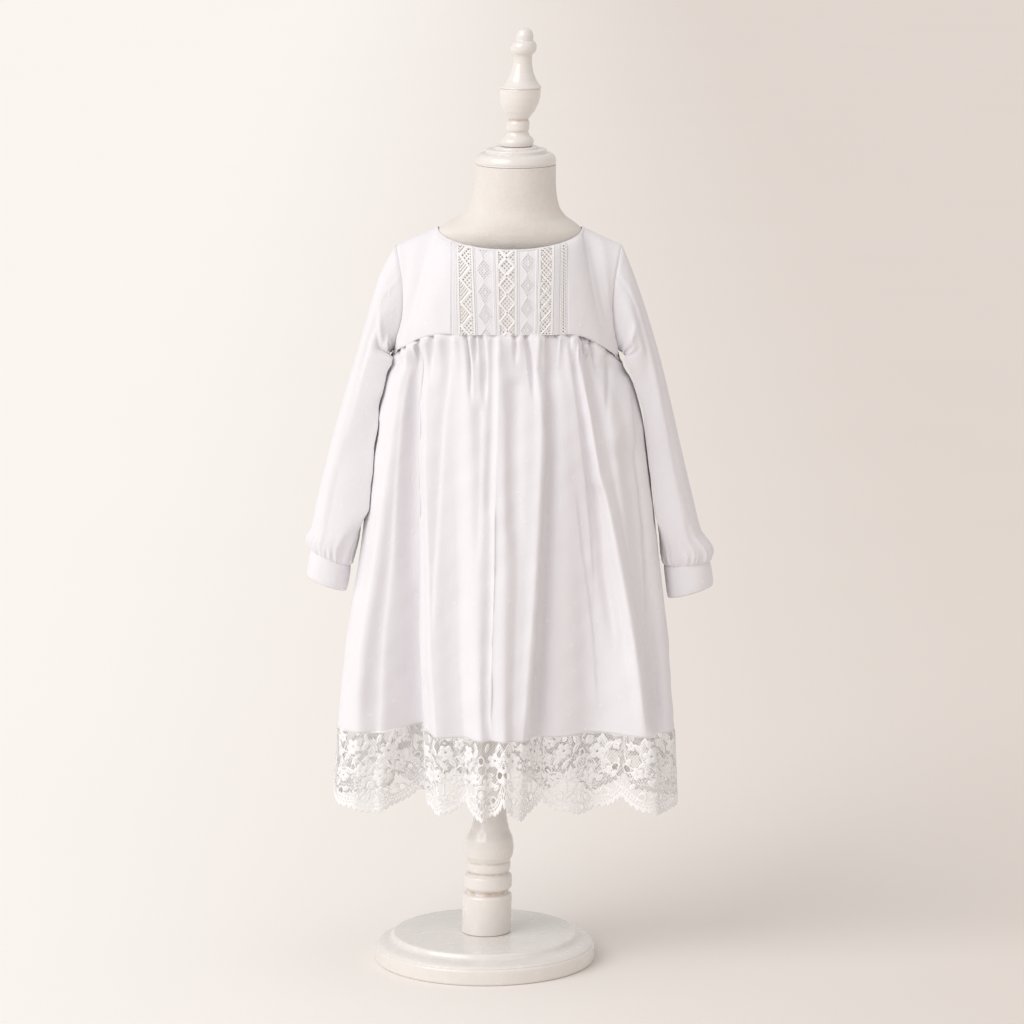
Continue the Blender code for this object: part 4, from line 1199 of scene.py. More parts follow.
def flounce_drawing(edges):
    """The drawing of a flounce whose repeats meet at the given places along the hem."""
    middles, halves = (edges[1:] + edges[:-1]) / 2, np.diff(edges) / 2

    def drawing(x, y):
        number = np.clip(np.searchsorted(edges, x, side="right") - 1, 0, len(middles) - 1)
        mirror = np.where(number % 2 == 0, 1.0, -1.0)
        u = (x - middles[number]) * mirror
        half = halves[number]
        lace = Drawing(u, y)
        reach = scallop_reach((x[0] - middles[number[0]]) / halves[number[0]])
        steepness = np.hypot(1.0, np.gradient(reach, x[0]))
        off = (reach - y) / steepness
        along = np.cumsum(steepness) * (x[0, 1] - x[0, 0]) + 0 * y

        lace.beaded_stem([(-38.5, 3), *arc((-30, 14), 11.5, 200, 130, 6), (-33, 33), (-38, 42)])
        lace.beaded_stem(arc((2, 31), 7.6, 100, 330, 14, 0.9))
        lace.beaded_stem([(22, 4), (27.5, 13), (26, 21), (21.5, 31), (23, 41)])
        lace.beaded_stem(arc((0, 56), 8.2, 188, 352, 14))
        lace.stem([(-44, 9), *arc((-27, 9), 13, 190, 60, 14), (-12, 27)])
        lace.stem([*arc((-8, 33), 9, 250, 20, 14, 1.1), (8, 33), *arc((14, 33), 9, 180, 330, 12)])
        lace.stem([(26, 26), *arc((34, 26), 8.5, 180, 20, 12), (44, 20)])
        lace.stem([(-40, 46), *arc((-27, 50), 12, 190, 330, 14), *arc((-12, 54), 6, 130, -60, 10)])
        lace.stem([(40, 44), *arc((27, 50), 11, -20, -190, 14)])
        for *foot, tip_x, tip_y, width in LEAVES:
            lace.leaf(foot, (tip_x, tip_y), width)
        for x_place, y_place, size, turn in FLOWERS:
            lace.flower((x_place, y_place), size, turn)
        for turn in (-64, -38, -13, 13, 38, 64):
            t = math.radians(90 + turn)
            middle = (15.5 * math.cos(t), 55 + 12 * math.sin(t))
            lace.loop(middle, 5.6, 2.1, t, 0.8)
        lace.add(disc(u, y, (0, 56), 4.4), 1, 1.2)
        lace.eyelets(np.arctan2(y - 56, u) * 2.6, -disc(u, y, (0, 56), 0), 2.3, (-2.6,), 0.6)
        for side in (-1, 1):
            lace.loop((side * half * 0.857, 35), 3.9, 5.4, 0.5 * side)
            lace.loop((side * half * 0.571, 63), 3.7, 5.2, -0.6 * side)
        lace.loop((0, 21), 3.4, 4.8)
        band = np.maximum(np.abs(off - BAND / 2) - BAND / 2, -9)
        lace.add(band, 0.35, 0.8)
        lace.add(np.abs(off - BAND) - 0.75, 0.8, 0.5)
        lace.eyelets(along, off, 3.3, (3, 6.2), 1.05)
        lace.add(np.abs(off - 0.6) - 0.7, 0.7, 0.5)
        lace.loop((0, 77), 2.6, 3.6, 0, 0.8)
        picot = off + 3.1 * np.abs(np.sin(along * math.pi / 6.4)) ** 0.6
        lace.add(np.maximum(-picot, off - 2), 0.8, 0.6)
        lace.cut(picot)
        lace.add(y - 1.8, 0.2)
        return lace

    return drawing


# %% Lay the flounce on the hem
FRONT_NET, BACK_NET = Net(3.0, 0.85, 0.56, 0.882), Net(3.0, 0.85, 0.6, 1.765)
LACE_FLARE = 0.6
LACE_SLOPE_FROM = 0.9
LACE_LEVELS = 40


def hem_ground(panel, facing):
    """The flounce's surface, read by millimetres along the hem and down from it, and where its repeats meet."""
    across = np.linspace(0, 1, 900)
    if facing == BACK:
        across = across[::-1]
    hem, above = panel.row(across, 1.0), panel.row(across, LACE_SLOPE_FROM)
    fall = unit((hem - above) * (LACE_FLARE, LACE_FLARE, 1.0))
    down = np.linspace(0, LACE_HEIGHT + 4.0, LACE_LEVELS)
    points = np.array([hem + fall * (drop + 0.4) for drop in down])
    along = arc_lengths(hem)
    ripple_shape = smoothstep(np.minimum(along, along[-1] - along) / 25.0)[None, :]
    ripple = np.sin(along / 9.0 + 2.0 * np.sin(along / 41.0 + facing))[None, :] * (down[:, None] / LACE_HEIGHT)
    under_hem = 0.9 * (1 - smoothstep(down / 2.5))[:, None]
    points = points + normals_of(points) * (1.5 * ripple * ripple_shape - under_hem)[..., None]
    edges = np.interp(np.linspace(0, 1, LACE_REPEATS + 1), np.sort(across),
                      along if facing == FRONT else (along[-1] - along)[::-1])
    if facing == BACK:
        edges = np.sort(along[-1] - edges)
    return Ground(points, along, down), edges, along[-1]


lace_cuts = {}


def work_lace(node, ground, drawing, pitch, width, height, net=None):
    """One lace of the gown, and the size it was cut to: its width, its height and the share that is thread."""
    name = f"gown_{node}"
    mesh, share = lace_mesh(name, ground, drawing, pitch, width, height, net)
    lace_cuts[node] = (width, height, share)
    pieces[node] = make_piece(name, mesh)
    dress(pieces[node], lace_cord, "white_lace", node)


for node, panel, facing, pitch, net in (("lace_front", front_panel, FRONT, 0.62, FRONT_NET),
                                        ("lace_back", back_panel, BACK, 0.92, BACK_NET)):
    ground, edges, width = hem_ground(panel, facing)
    work_lace(node, ground, flounce_drawing(edges), pitch, width, LACE_HEIGHT + 3.0, net)

# %% [markdown]
# ## The tucked and laced centre of the yoke
#
# Between the plain sides, the cloth is worked: three wide insertion laces, two columns of drawn-thread
# diamonds, a narrow beading at one side, and fine pintucks between them. The cloth is traced like the lace,
# with a window behind each insertion, and each insertion is a strip of its own that closes its window.

# %% Ground of the centre panel
Strip = namedtuple("Strip", "node left right style")
STRIPS = [
    Strip("lace_strip_left", -26.2, -9.4, "leafy"),
    Strip("lace_strip_centre", 12.8, 32.4, "crossed"),
    Strip("lace_strip_right", 53.2, 68.2, "trellis"),
    Strip("beading_strip", 75, 81, "beading"),
]
COLUMNS = [
    Strip("embroidered_column_left", -6.6, 8.4, "drawn"),
    Strip("embroidered_column_right", 35.4, 50.4, "drawn"),
]
TUCK_LINES = [-30.6, -29.0, -27.4, -8.2, 9.6, 11.0, 34.0, 51.0, 52.2, 69.6, 70.9, 72.2, 73.5]
WINDOW_EDGE = 0.7


def centre_ground():
    points = hangs_over(front_centre(PANEL_LEFT_X, PANEL_RIGHT_X, 160, 120))[::-1]
    middle = points[points.shape[0] // 2]
    along = arc_lengths(middle)
    down = arc_lengths(points[:, points.shape[1] // 2])
    return Ground(points, along, down), along, down, middle[:, 0]


centre, centre_along, centre_down, centre_x = centre_ground()
panel_width, panel_height = float(centre_along[-1]), float(centre_down[-1])


def to_along(x):
    return float(np.interp(x, centre_x, centre_along))


# %% Worked cloth and insertion laces
def diamonds(x, y, middle, half_width, half_height):
    """Distance from the middle of the nearest of a column of diamonds, 1 at its edge."""
    local = (y + half_height) % (2 * half_height) - half_height
    return np.abs(x - middle) / half_width + np.abs(local) / half_height


def lattice(x, y, pitch, radius, stretch):
    """Round holes on a slanted lattice."""
    u, v = (x + y / stretch) / pitch, (x - y / stretch) / pitch
    u, v = u - np.round(u), v - np.round(v)
    return np.hypot((u + v) / 2, (u - v) / 2 * stretch) * pitch - radius


def worked_cloth(x, y):
    """The centre panel's cloth: tucks, drawn-thread diamonds, and windows behind the laces."""
    work = Drawing(x, y)
    work.add(np.full(x.shape, -5.0), 0.0)
    for strip in STRIPS:
        left, right = to_along(strip.left) + WINDOW_EDGE, to_along(strip.right) - WINDOW_EDGE
        work.cut(np.abs(x - (left + right) / 2) - (right - left) / 2)
    for number, column in enumerate(COLUMNS):
        left, right = to_along(column.left), to_along(column.right)
        middle, half = (left + right) / 2, (right - left) / 2
        shape = diamonds(x, y + 7.0 * number, middle, half * 0.92, 11.0)
        holes = np.maximum(lattice(x - middle, y, 2.9, 0.56, 1.15), (shape - 0.98) * 4.0)
        work.cut(np.maximum(holes, (0.2 - shape) * 4.0))
        work.lift += 0.35 * np.exp(-((shape - 1.06) / 0.07) ** 2) + 0.25 * np.exp(-((shape - 0.36) / 0.06) ** 2)
    for tuck in TUCK_LINES:
        work.lift += 0.75 * np.exp(-((x - to_along(tuck)) / 0.42) ** 2)
    return work


def insertion(width, style):
    """The drawing of one insertion lace."""

    def drawing(x, y):
        strip = Drawing(x, y)
        strip.add(np.full(x.shape, -5.0), 0.0)
        u = x - width / 2
        if style == "beading":
            strip.cut(np.hypot(np.abs(u) - 0.1, (y % 3.0) - 1.5) - 0.85)
            strip.cut(np.hypot(np.abs(u) - 2.05, ((y + 1.5) % 3.0) - 1.5) - 0.55)
            return strip
        inner = width / 2 - 3.5
        strip.cut(np.hypot((np.abs(u) - width / 2 + 2.75) * 1.35, (y % 2.5) - 1.25) - 0.78)
        inside = np.abs(u) - inner
        if style == "trellis":
            bar = np.minimum(np.abs(diamonds(u, y, 0.0, inner + 1.6, 6.2) - 1.0) * 3.2 - 0.34, 9.0)
            strip.cut(np.maximum(np.maximum(lattice(u, y, 3.9, 1.02, 1.1), inside), -bar))
            strip.add(bar, 0.6, 0.4)
        if style == "crossed":
            shape = diamonds(u, y, 0.0, inner + 1.2, 9.0)
            bar = np.abs(shape - 1.0) * 4.4 - 0.85
            heart = np.hypot(u, (y % 18.0) - 9.0) - 2.3
            holes = np.maximum(np.maximum(lattice(u, y, 4.0, 1.0, 1.08), inside), -bar)
            strip.cut(np.maximum(holes, -heart))
            strip.add(bar, 0.7, 0.6)
            strip.add(heart, 0.8, 0.9)
            strip.cut(np.hypot(u, (y % 18.0) - 9.0) - 0.85)
        if style == "leafy":
            zigzag = np.abs((y % 22.0) - 11.0) / 11.0 * 2 - 1
            slope = 2 * inner / 11.0
            bar = np.abs(u - zigzag * inner) / math.hypot(1.0, slope) - 1.15
            ladder = np.abs(((u * 0.8 + y * 0.62) % 2.3) - 1.15) - 0.5
            left = np.maximum(np.maximum(ladder, u - zigzag * inner + 1.0), inside)
            right = np.maximum(np.maximum(lattice(u, y, 3.9, 0.95, 1.15), zigzag * inner + 1.0 - u), inside)
            strip.cut(np.maximum(np.minimum(left, right), -bar))
            strip.add(bar, 0.7, 0.7)
        for off, height in ((0.6, 0.7), (1.75, 0.5)):
            strip.add(np.abs(np.abs(u) - width / 2 + off) - 0.42, height, 0.35)
        return strip

    return drawing


centre_mesh, centre_share = lace_mesh("gown_yoke_front_centre", centre, worked_cloth, 0.45, panel_width, panel_height)
centre_piece = make_piece("gown_yoke_front_centre", centre_mesh)
dress(centre_piece, cotton, "white_cotton", "yoke_front_centre", *[column.node for column in COLUMNS])
pieces["yoke_front_centre"] = centre_piece

for strip in STRIPS:
    left, right = to_along(strip.left), to_along(strip.right)
    ground = Ground(centre.points + centre.normals * 0.35, centre_along - left, centre_down)
    work_lace(strip.node, ground, insertion(right - left, strip.style), 0.34, right - left, panel_height)


# %% [markdown]
# A plain cream sheet is laid close behind the openwork. Its colour is painted shade: it stands in for the
# shaded form seen through the holes, and it is what gives the holes their warm tone.

# %% Cream sheet, painted shade behind the openwork
# A sheet of painted shade, 1.5 mm behind the centre panel, seen through its holes.
shade_sheet_points = (centre.points - centre.normals * 1.5)[::6, ::6]
shade_sheet = make_piece("gown_panel_shade_sheet", sheet_mesh("gown_panel_shade_sheet", shade_sheet_points))
dress(shade_sheet, shade_cloth, "white_cotton")

# %% [markdown]
# ## The back of the yoke
#
# The yoke opens at the centre back, where one side laps over the other and closes with three small buttons.
# The lap is the same surface lifted a little, and the lift eases off away from the middle.

# %% Back yoke
LAP_RAMP = 22.0
LAP_LIFT = 2.0
BACK_COLUMNS, BACK_ROWS = 110, 56
BACK_YOKE_CREASES = [
    YokeCrease(1.2, 0.04, (0.02, 0.30), (0.32, 0.05)),
    YokeCrease(-1, 0.03, (0.02, 0.18), (0.30, -0.04)),
    YokeCrease(1.2, 0.04, (0.98, 0.30), (0.68, 0.05)),
    YokeCrease(-1, 0.03, (0.98, 0.18), (0.70, -0.04)),
    YokeCrease(0.9, 0.05, (0.18, 0.95), (0.10, 0.40)),
    YokeCrease(0.9, 0.05, (0.82, 0.95), (0.90, 0.40)),
]
back = yoke_creased(whole_back(BACK_COLUMNS, BACK_ROWS)[:, ::-1], BACK_YOKE_CREASES)
back = hangs_over(seam_pull(back, 0.5, 1.3, "lr"))
middle_column = BACK_COLUMNS // 2
overlap_columns = 6
from_middle = np.abs(back[:, :, 0] - back[:, middle_column:middle_column + 1, 0])
lap = smoothstep(1.3 - from_middle / LAP_RAMP)
lifted = back + outwards(back) * (LAP_LIFT * lap)[..., None]
back_halves = {
    "right": lifted[:, :middle_column + overlap_columns + 1],
    "left": back[:, middle_column - overlap_columns:],
}
for where, points in back_halves.items():
    sew(f"yoke_back_{where}", points[::-1], YOKE_CLOTH)

# %% [markdown]
# ## Sleeves and cuffs
#
# Each sleeve is a long tube, set into the armhole and drawn in by gathers at the wrist. The tube is lofted
# through oval rings, and its puckers, elbow folds and the loops of cloth under the arm are creases placed on
# it one by one. The narrow cuff laps over itself on the inner side, where one small button closes it.

# %% Tables
Ring = namedtuple("Ring", "outer_x outer_z inner_x inner_z half_depth behind")
Cuff = namedtuple("Cuff", "top bottom")
SLEEVE_RINGS = {
    LEFT: [
        Ring(-103.5, 699, -94.5, 622, 28, 1),
        Ring(-118, 651, -99.5, 608, 29, 3),
        Ring(-131, 607, -104.5, 584, 29, 5),
        Ring(-144, 563, -111, 548, 28, 6),
        Ring(-156, 519, -118, 505, 27, 6),
        Ring(-167.5, 472, -122.8, 461, 26, 6),
        Ring(-173.8, 441, -126.5, 432, 26, 6),
    ],
    RIGHT: [
        Ring(148.5, 699, 138.8, 616, 28, 1),
        Ring(164.5, 651, 148, 605, 29, 3),
        Ring(177, 607, 154, 587, 29, 5),
        Ring(188, 561, 161, 551, 29, 6),
        Ring(197.5, 519, 166.5, 508, 28, 6),
        Ring(208.5, 472, 171.5, 463, 27, 6),
        Ring(216, 441, 176, 432, 26, 6),
    ],
}
CUFFS = {
    LEFT: Cuff(Ring(-174.5, 421, -134, 405, 21, 6), Ring(-178.5, 394, -138.5, 379, 21, 6)),
    RIGHT: Cuff(Ring(226, 409, 179.5, 405, 21, 6), Ring(229.5, 385, 183.5, 372, 21, 6)),
}
WRIST_PUFF, PUFF_RISE = 3.0, 10.0
GATHER_RING_GROW, GATHER_RING_RISE = 1.2, 3.5
WRIST_GAP = 1.0
CUFF_LAP, CUFF_LAP_START, CUFF_LAP_RAMP = 0.9, 1.3, 0.7
SLEEVE_ROWS, SLEEVE_COLUMNS = 100, 190
CUFF_ROWS, CUFF_COLUMNS = 22, 120
WRIST_PUCKERS = 23
SLEEVE_CLOTH, CUFF_CLOTH, SLEEVE_GAP = 0.8, 1.0, 0.7


# %% Sleeve shape
def ring_points(ring, angle, grow=0.0, flat=1.0):
    """An oval ring: angle 0 at the outer side, a quarter turn at the front, pi at the inner side."""
    outer = np.array([ring.outer_x, ring.outer_z])
    inner = np.array([ring.inner_x, ring.inner_z])
    middle, half = (outer + inner) / 2, (outer - inner) / 2
    scale = 1 + grow / np.linalg.norm(half)
    place = middle + np.cos(angle)[:, None] * (half * scale)
    y = ring.behind - np.sign(np.sin(angle)) * np.abs(np.sin(angle)) ** flat * (ring.half_depth + grow)
    return np.column_stack([place[:, 0], y, place[:, 1]])


def radial(ring, angle):
    """Unit vectors out of a ring, level with it."""
    return unit(ring_points(ring, angle, 1.0) - ring_points(ring, angle))


def armhole_ring(side, angle):
    """The whole armhole as a ring, set just outside the yoke's edge."""
    height = (1 + np.cos(angle)) / 2
    ring = np.where((np.sin(angle) >= 0)[:, None], armhole(side, FRONT, height), armhole(side, BACK, height))
    return ring + (side * 0.15, 0.0, 0.0)


def sleeve_tube(side):
    """The plain sleeve, as a grid of points from the armhole to the wrist, and the share of its length."""
    angle = np.linspace(0, 2 * math.pi, SLEEVE_COLUMNS, endpoint=False)
    wrist = CUFFS[side].top
    rings = [armhole_ring(side, angle)]
    rings += [ring_points(ring, angle, flat=0.72) for ring in SLEEVE_RINGS[side]]
    for grow, rise in ((WRIST_PUFF, PUFF_RISE), (GATHER_RING_GROW, GATHER_RING_RISE), (0.0, WRIST_GAP)):
        rings.append(ring_points(wrist, angle, grow) + (0.0, 0.0, rise))
    rings = np.array(rings)
    places = arc_lengths(rings.mean(axis=1))
    even = np.linspace(0, 1, SLEEVE_ROWS)
    share = 0.45 * even + 0.55 * np.sin(even * math.pi / 2)
    at = share * places[-1]
    tube = np.empty((SLEEVE_ROWS, SLEEVE_COLUMNS, 3))
    for column in range(SLEEVE_COLUMNS):
        for axis in range(3):
            tube[:, column, axis] = curve_through(at, places, rings[:, column, axis])
    return tube, angle, at, places[-1]


def beside_skirt(side, y, z):
    """How far the skirt's side reaches in x, at any depth y and height z."""
    near_side = []
    for points in (skirt_front_points, skirt_back_points):
        first_is_near = points[-1, 0, 0] * side > points[-1, -1, 0] * side
        near_side.append(points[2:, :70] if first_is_near else points[2:, -70:])
    heights, depths = np.arange(396.0, 644.0, 4.0), np.arange(-60.0, 60.0, 2.0)
    table = []
    for height in heights:
        outline = np.concatenate([part[np.argmin(np.abs(part[:, :, 2].mean(axis=1) - height))] for part in near_side])
        outline = outline[np.argsort(outline[:, 1])]
        table.append(np.interp(depths, outline[:, 1], outline[:, 0]))
    table = np.array(table)
    up = np.clip((z - heights[0]) / 4.0, 0, len(heights) - 1.001)
    back = np.clip((y - depths[0]) / 2.0, 0, len(depths) - 1.001)
    row, column = up.astype(int), back.astype(int)
    lower = table[row, column] * (1 - back % 1) + table[row, column + 1] * (back % 1)
    upper = table[row + 1, column] * (1 - back % 1) + table[row + 1, column + 1] * (back % 1)
    return lower * (1 - up % 1) + upper * (up % 1)


def rests_on_skirt(tube, side, turn, share):
    """Moves the inner side of the sleeve up to the skirt, because a hanging sleeve lies against the body."""
    apart = (tube[..., 0] - beside_skirt(side, tube[..., 1], tube[..., 2])) * side - SLEEVE_GAP
    near = smoothstep(1.5 - np.abs(turn - 0.40) / 0.13) * smoothstep(share / 0.08) * smoothstep((0.95 - share) / 0.16)
    clear = smoothstep(1 - np.abs(turn - 0.45) / 0.3)
    shift = np.maximum(apart, 0) * near + np.minimum(apart, 0) * clear
    rested = tube.copy()
    rested[..., 0] -= side * shift * smoothstep((630 - tube[..., 2]) / 12)
    return rested


def tucked_under(tube, side):
    """More rings at either end, which carry the sleeve's edges in under the yoke and into the cuff."""
    first, last = tube[0], tube[-1]
    spoke = unit((first - first.mean(axis=0)) * (0.0, 1.0, 1.0))
    inner = first - spoke * 0.5 - (side * 1.6, 0.0, 0.0)
    turn = first - spoke * 0.175 - (side * 0.192, 0.0, 0.0)
    into_cuff = last - unit(last - last.mean(axis=0)) * 1.6 - (0.0, 0.0, 3.6)
    return np.concatenate([inner[None], turn[None], tube, into_cuff[None]])


# Width and line in hundredths, the line as (turns round the sleeve, share of its length): 0 is the outer side,
# 25 the front, 50 the inner side and 75 the back.
SleeveFold = namedtuple("SleeveFold", "height width line")
SLEEVE_FOLDS = {
    LEFT: [SleeveFold(*row) for row in (
        (2.6, 3.5, [(52, 6), (42, 10), (30, 12), (20, 10)]),
        (4.2, 2.2, [(46, 4), (40, 5), (35, 8), (35, 14), (40, 20)]),
        (-3, 2.6, [(54, 10), (43, 14.5), (32, 16.5), (22, 15)]),
        (2.8, 3.2, [(54, 15), (42, 20.5), (30, 22.5), (20, 20)]), (-2.4, 2.4, [(53, 21), (42, 25.5), (33, 27)]),
        (2, 4, [(50, 27), (38, 33), (28, 36)]), (-2, 3.5, [(36, 30), (30, 45), (27, 62)]),
        (1.8, 4.5, [(44, 40), (38, 55), (34, 72), (33, 90)]), (-1.6, 3, [(20, 5), (17, 25), (18, 45)]),
        (1.6, 4, [(12, 10), (10, 35), (13, 60), (14, 85)]), (-1.8, 3, [(22, 55), (20, 75), (19, 95)]),
        (1.5, 3.5, [(26, 62), (25, 80), (26, 96)]), (2.2, 4, [(60, 10), (70, 14), (80, 13)]),
        (-2.2, 3, [(58, 17), (68, 21), (80, 20)]), (-1.8, 3.5, [(66, 35), (70, 55), (72, 80)]),
        (1.6, 4.5, [(85, 15), (87, 45), (84, 80)]),
    )],
    RIGHT: [SleeveFold(*row) for row in (
        (2.6, 3.5, [(50, 5), (40, 10), (28, 13)]), (4.4, 2.6, [(47, 2), (38, 6), (30, 10), (24, 11)]),
        (3.4, 2.6, [(29, 9), (31, 16), (32, 26), (31, 36)]), (-2.8, 2.6, [(52, 10), (40, 15.5), (28, 18)]),
        (2.2, 3.4, [(53, 16), (42, 21), (32, 23)]), (-2.2, 2.4, [(52, 22), (43, 26), (36, 27)]),
        (-2, 3, [(16, 2), (19, 16), (24, 32), (26, 50)]), (1.8, 3.8, [(22, 2), (25, 14), (31, 33), (33, 55)]),
        (-1.8, 3.2, [(10, 6), (12, 25), (16, 50), (17, 72)]), (1.6, 4, [(40, 36), (38, 55), (36, 78), (36, 94)]),
        (-1.8, 3, [(29, 56), (28, 75), (27, 95)]), (1.6, 3.5, [(22, 60), (21, 80), (21, 96)]),
        (-1.4, 3, [(14, 70), (14, 95)]), (2.2, 4, [(60, 10), (70, 15), (80, 14)]),
        (-2.2, 3, [(58, 18), (68, 22), (80, 21)]), (-1.8, 3.5, [(67, 38), (70, 60), (70, 85)]),
        (1.6, 4.5, [(86, 12), (88, 42), (85, 80)]),
    )],
}


def fold_height(folds, turn, share):
    """Height of all the folds together at each place on the sleeve."""
    total = np.zeros(turn.shape)
    for fold in folds:
        line = np.array(fold.line) / 100
        fine = np.linspace(0, 1, 24)
        at = np.linspace(0, 1, len(line))
        path = np.column_stack([curve_through(fine, at, part) for part in line.T])
        nearest = np.full(turn.shape, np.inf)
        fade = np.zeros(turn.shape)
        for number, (x, y) in enumerate(path):
            apart = (turn - x + 0.5) % 1.0 - 0.5
            gap = np.hypot(apart, (share - y) * 2.0)
            closer = gap < nearest
            nearest = np.where(closer, gap, nearest)
            fade = np.where(closer, math.sin(math.pi * (0.12 + 0.76 * number / 23)), fade)
        total += fold.height * fade * np.exp(-(nearest / (fold.width / 100)) ** 2)
    return total


def wrist_gathers(side, turn, share, length):
    """Uneven puckers that grow towards the cuff, and die out up the sleeve."""
    draw = np.random.default_rng(31 if side == LEFT else 47)
    total = np.zeros(turn.shape)
    from_cuff = (1 - share) * length
    for start in (np.arange(WRIST_PUCKERS) + draw.uniform(-0.36, 0.36, WRIST_PUCKERS)) / WRIST_PUCKERS:
        height, width = draw.uniform(1.2, 3.0), draw.uniform(0.0075, 0.0125)
        reach = draw.uniform(7.0, 20.0) + 34.0 * (draw.random() > 0.72)
        drift = 0.0007 * draw.uniform(-1, 1)
        apart = (turn - start + 0.5 + drift * from_cuff) % 1.0 - 0.5
        wide = width * (1 + from_cuff / 26)
        total += height * np.exp(-((apart / wide) ** 2)) * np.exp(-((from_cuff / reach) ** 1.3))
    return (total - 0.9 * np.exp(-from_cuff / 9.0)) * smoothstep(from_cuff / 2.5 + 0.3)


def shoulder_gathers(side, turn, share, length):
    """A little fullness eased into the top of the armhole."""
    draw = np.random.default_rng(11 if side == LEFT else 13)
    total = np.zeros(turn.shape)
    for start in np.concatenate([draw.uniform(-0.18, 0.2, 7), draw.uniform(0.78, 0.9, 3)]):
        apart = (turn - start + 0.5) % 1.0 - 0.5
        total += draw.uniform(0.4, 0.9) * np.exp(-((apart / 0.011) ** 2)) * np.exp(-share * length / 16.0)
    return total * smoothstep(share * length / 4.0 + 0.2)


sleeve_sizes = {}
for side, where in SIDE_NAMES.items():
    tube, angle, at, length = sleeve_tube(side)
    turn, share = np.meshgrid(angle / (2 * math.pi), at / length)
    relief = fold_height(SLEEVE_FOLDS[side], turn, share)
    relief *= smoothstep(share / 0.06) * (0.35 + 0.65 * smoothstep((1 - share) / 0.12))
    relief *= 0.6 + 0.5 * smoothstep((0.34 - share) / 0.1)
    relief += wrist_gathers(side, turn, share, length) + shoulder_gathers(side, turn, share, length)
    middle = tube.mean(axis=1, keepdims=True)
    out = normals_of(tube, wraps=True)
    out *= np.sign(np.sum(out * (tube - middle), axis=(1, 2)).mean())
    tube = tube + out * relief[..., None]
    tube = rests_on_skirt(tube, side, turn, share)
    around = float(np.linalg.norm(np.roll(tube, -1, axis=1) - tube, axis=2).sum(axis=1).max())
    sleeve_sizes[where] = (around, length)
    sew(f"sleeve_{where}", tucked_under(tube, side)[:, ::-side], SLEEVE_CLOTH, wraps=True)


# %% Cuffs
def cuff_band(side):
    """A band that laps over itself on the inner back of the wrist, a little softened at both edges."""
    part = np.linspace(0, 1, CUFF_COLUMNS + 1)
    turn = CUFF_LAP_START + part * (2 * math.pi + CUFF_LAP)
    lap = smoothstep((turn - CUFF_LAP_START - 2 * math.pi) / CUFF_LAP_RAMP + 1)
    cuff = CUFFS[side]
    top, bottom = (ring_points(ring, -turn) + radial(ring, -turn) * (2.0 * lap)[:, None] for ring in cuff)
    down = np.linspace(0, 1, CUFF_ROWS)
    band = top[None] * (1 - down)[:, None, None] + bottom[None] * down[:, None, None]
    puff = 0.9 * (1 - (2 * down - 1) ** 6) - 0.5
    edge_rolls = 0.25 * np.exp(-((down - 0.10) / 0.04) ** 2) + 0.25 * np.exp(-((down - 0.90) / 0.04) ** 2)
    wave = 0.35 * np.sin(5 * turn + side)[None] * np.sin(math.pi * down)[:, None]
    relief = (puff - edge_rolls)[:, None] + wave
    return band + radial(cuff.top, -turn)[None] * relief[..., None]


cuff_bands = {}
for side, where in SIDE_NAMES.items():
    cuff_bands[side] = cuff_band(side)[:, ::side]
    sew(f"cuff_{where}", cuff_bands[side], CUFF_CLOTH)

# %% [markdown]
# ## The dress form
#
# A limbless torso, padded and covered in fine cream linen, on a turned post and base. The turned pieces are
# profiles swept round their own axis; fine steps catch the light as a lathe's cuts do, and the paint's colour is
# darker and warmer in the grooves. A vertex attribute says how deep each ring lies in a groove.

# %% Torso
STAND_LEAN, FINIAL_LEAN = 0.0386, 0.073
NECK_TOP_Z, FACE_GAP, BASE_HEIGHT, BASE_RADIUS, POST_RADIUS = 808.9, 0.3, 28.0, 111.0, 25.0
Waist = namedtuple("Waist", "z half_width half_depth squareness shift")
TORSO = [Waist(*row) for row in (
    (345, 62, 44, 2, 0), (352, 74, 53, 2.1, 0), (380, 83, 60, 2.2, 0), (500, 81, 58, 2.3, 0), (620, 90, 57, 2.3, 0),
    (690, 92, 49, 2.3, 0), (712, 87, 41, 2.2, 0), (727, 81.5, 42, 2.1, -2), (738, 73.8, 44.5, 2, -3),
    (745.5, 70.45, 45.5, 2, -3.3), (751, 63.4, 45.5, 2, -2.5), (757.5, 53, 44.5, 2, -1.5), (768, 44.5, 42, 2, 0),
    (788, 40.6, 40.6, 2, 0), (NECK_TOP_Z, 39.7, 39.7, 2, 0),
)]


def leaned(points, slope, pivot_z, start_x):
    """Shears points so that their axis leans to the side, as much as slope for each unit of height."""
    points = points.copy()
    points[..., 0] += start_x + slope * (points[..., 2] - pivot_z)
    return points


def swept(profile, columns):
    """Rings through a profile of (radius, height) pairs, round the upright axis."""
    angle = np.linspace(0, 2 * math.pi, columns, endpoint=False)
    radius = profile[:, :1]
    return np.stack([radius * np.cos(angle), radius * np.sin(angle), profile[:, 1:] + 0 * radius * angle], axis=-1)


def closed_loft(name, rings):
    """A closed body through rings from the top down, with a flat face at either end."""
    rows, columns = rings.shape[:2]
    mesh = sheet_mesh(name, rings, wraps=True)
    work = bmesh.new()
    work.from_mesh(mesh)
    work.verts.ensure_lookup_table()
    for start, turned in ((0, False), ((rows - 1) * columns, True)):
        loop = [work.verts[start + number] for number in range(columns)]
        work.faces.new(loop[::-1] if turned else loop)
    bmesh.ops.recalc_face_normals(work, faces=work.faces[:])
    work.to_mesh(mesh)
    work.free()
    return mesh


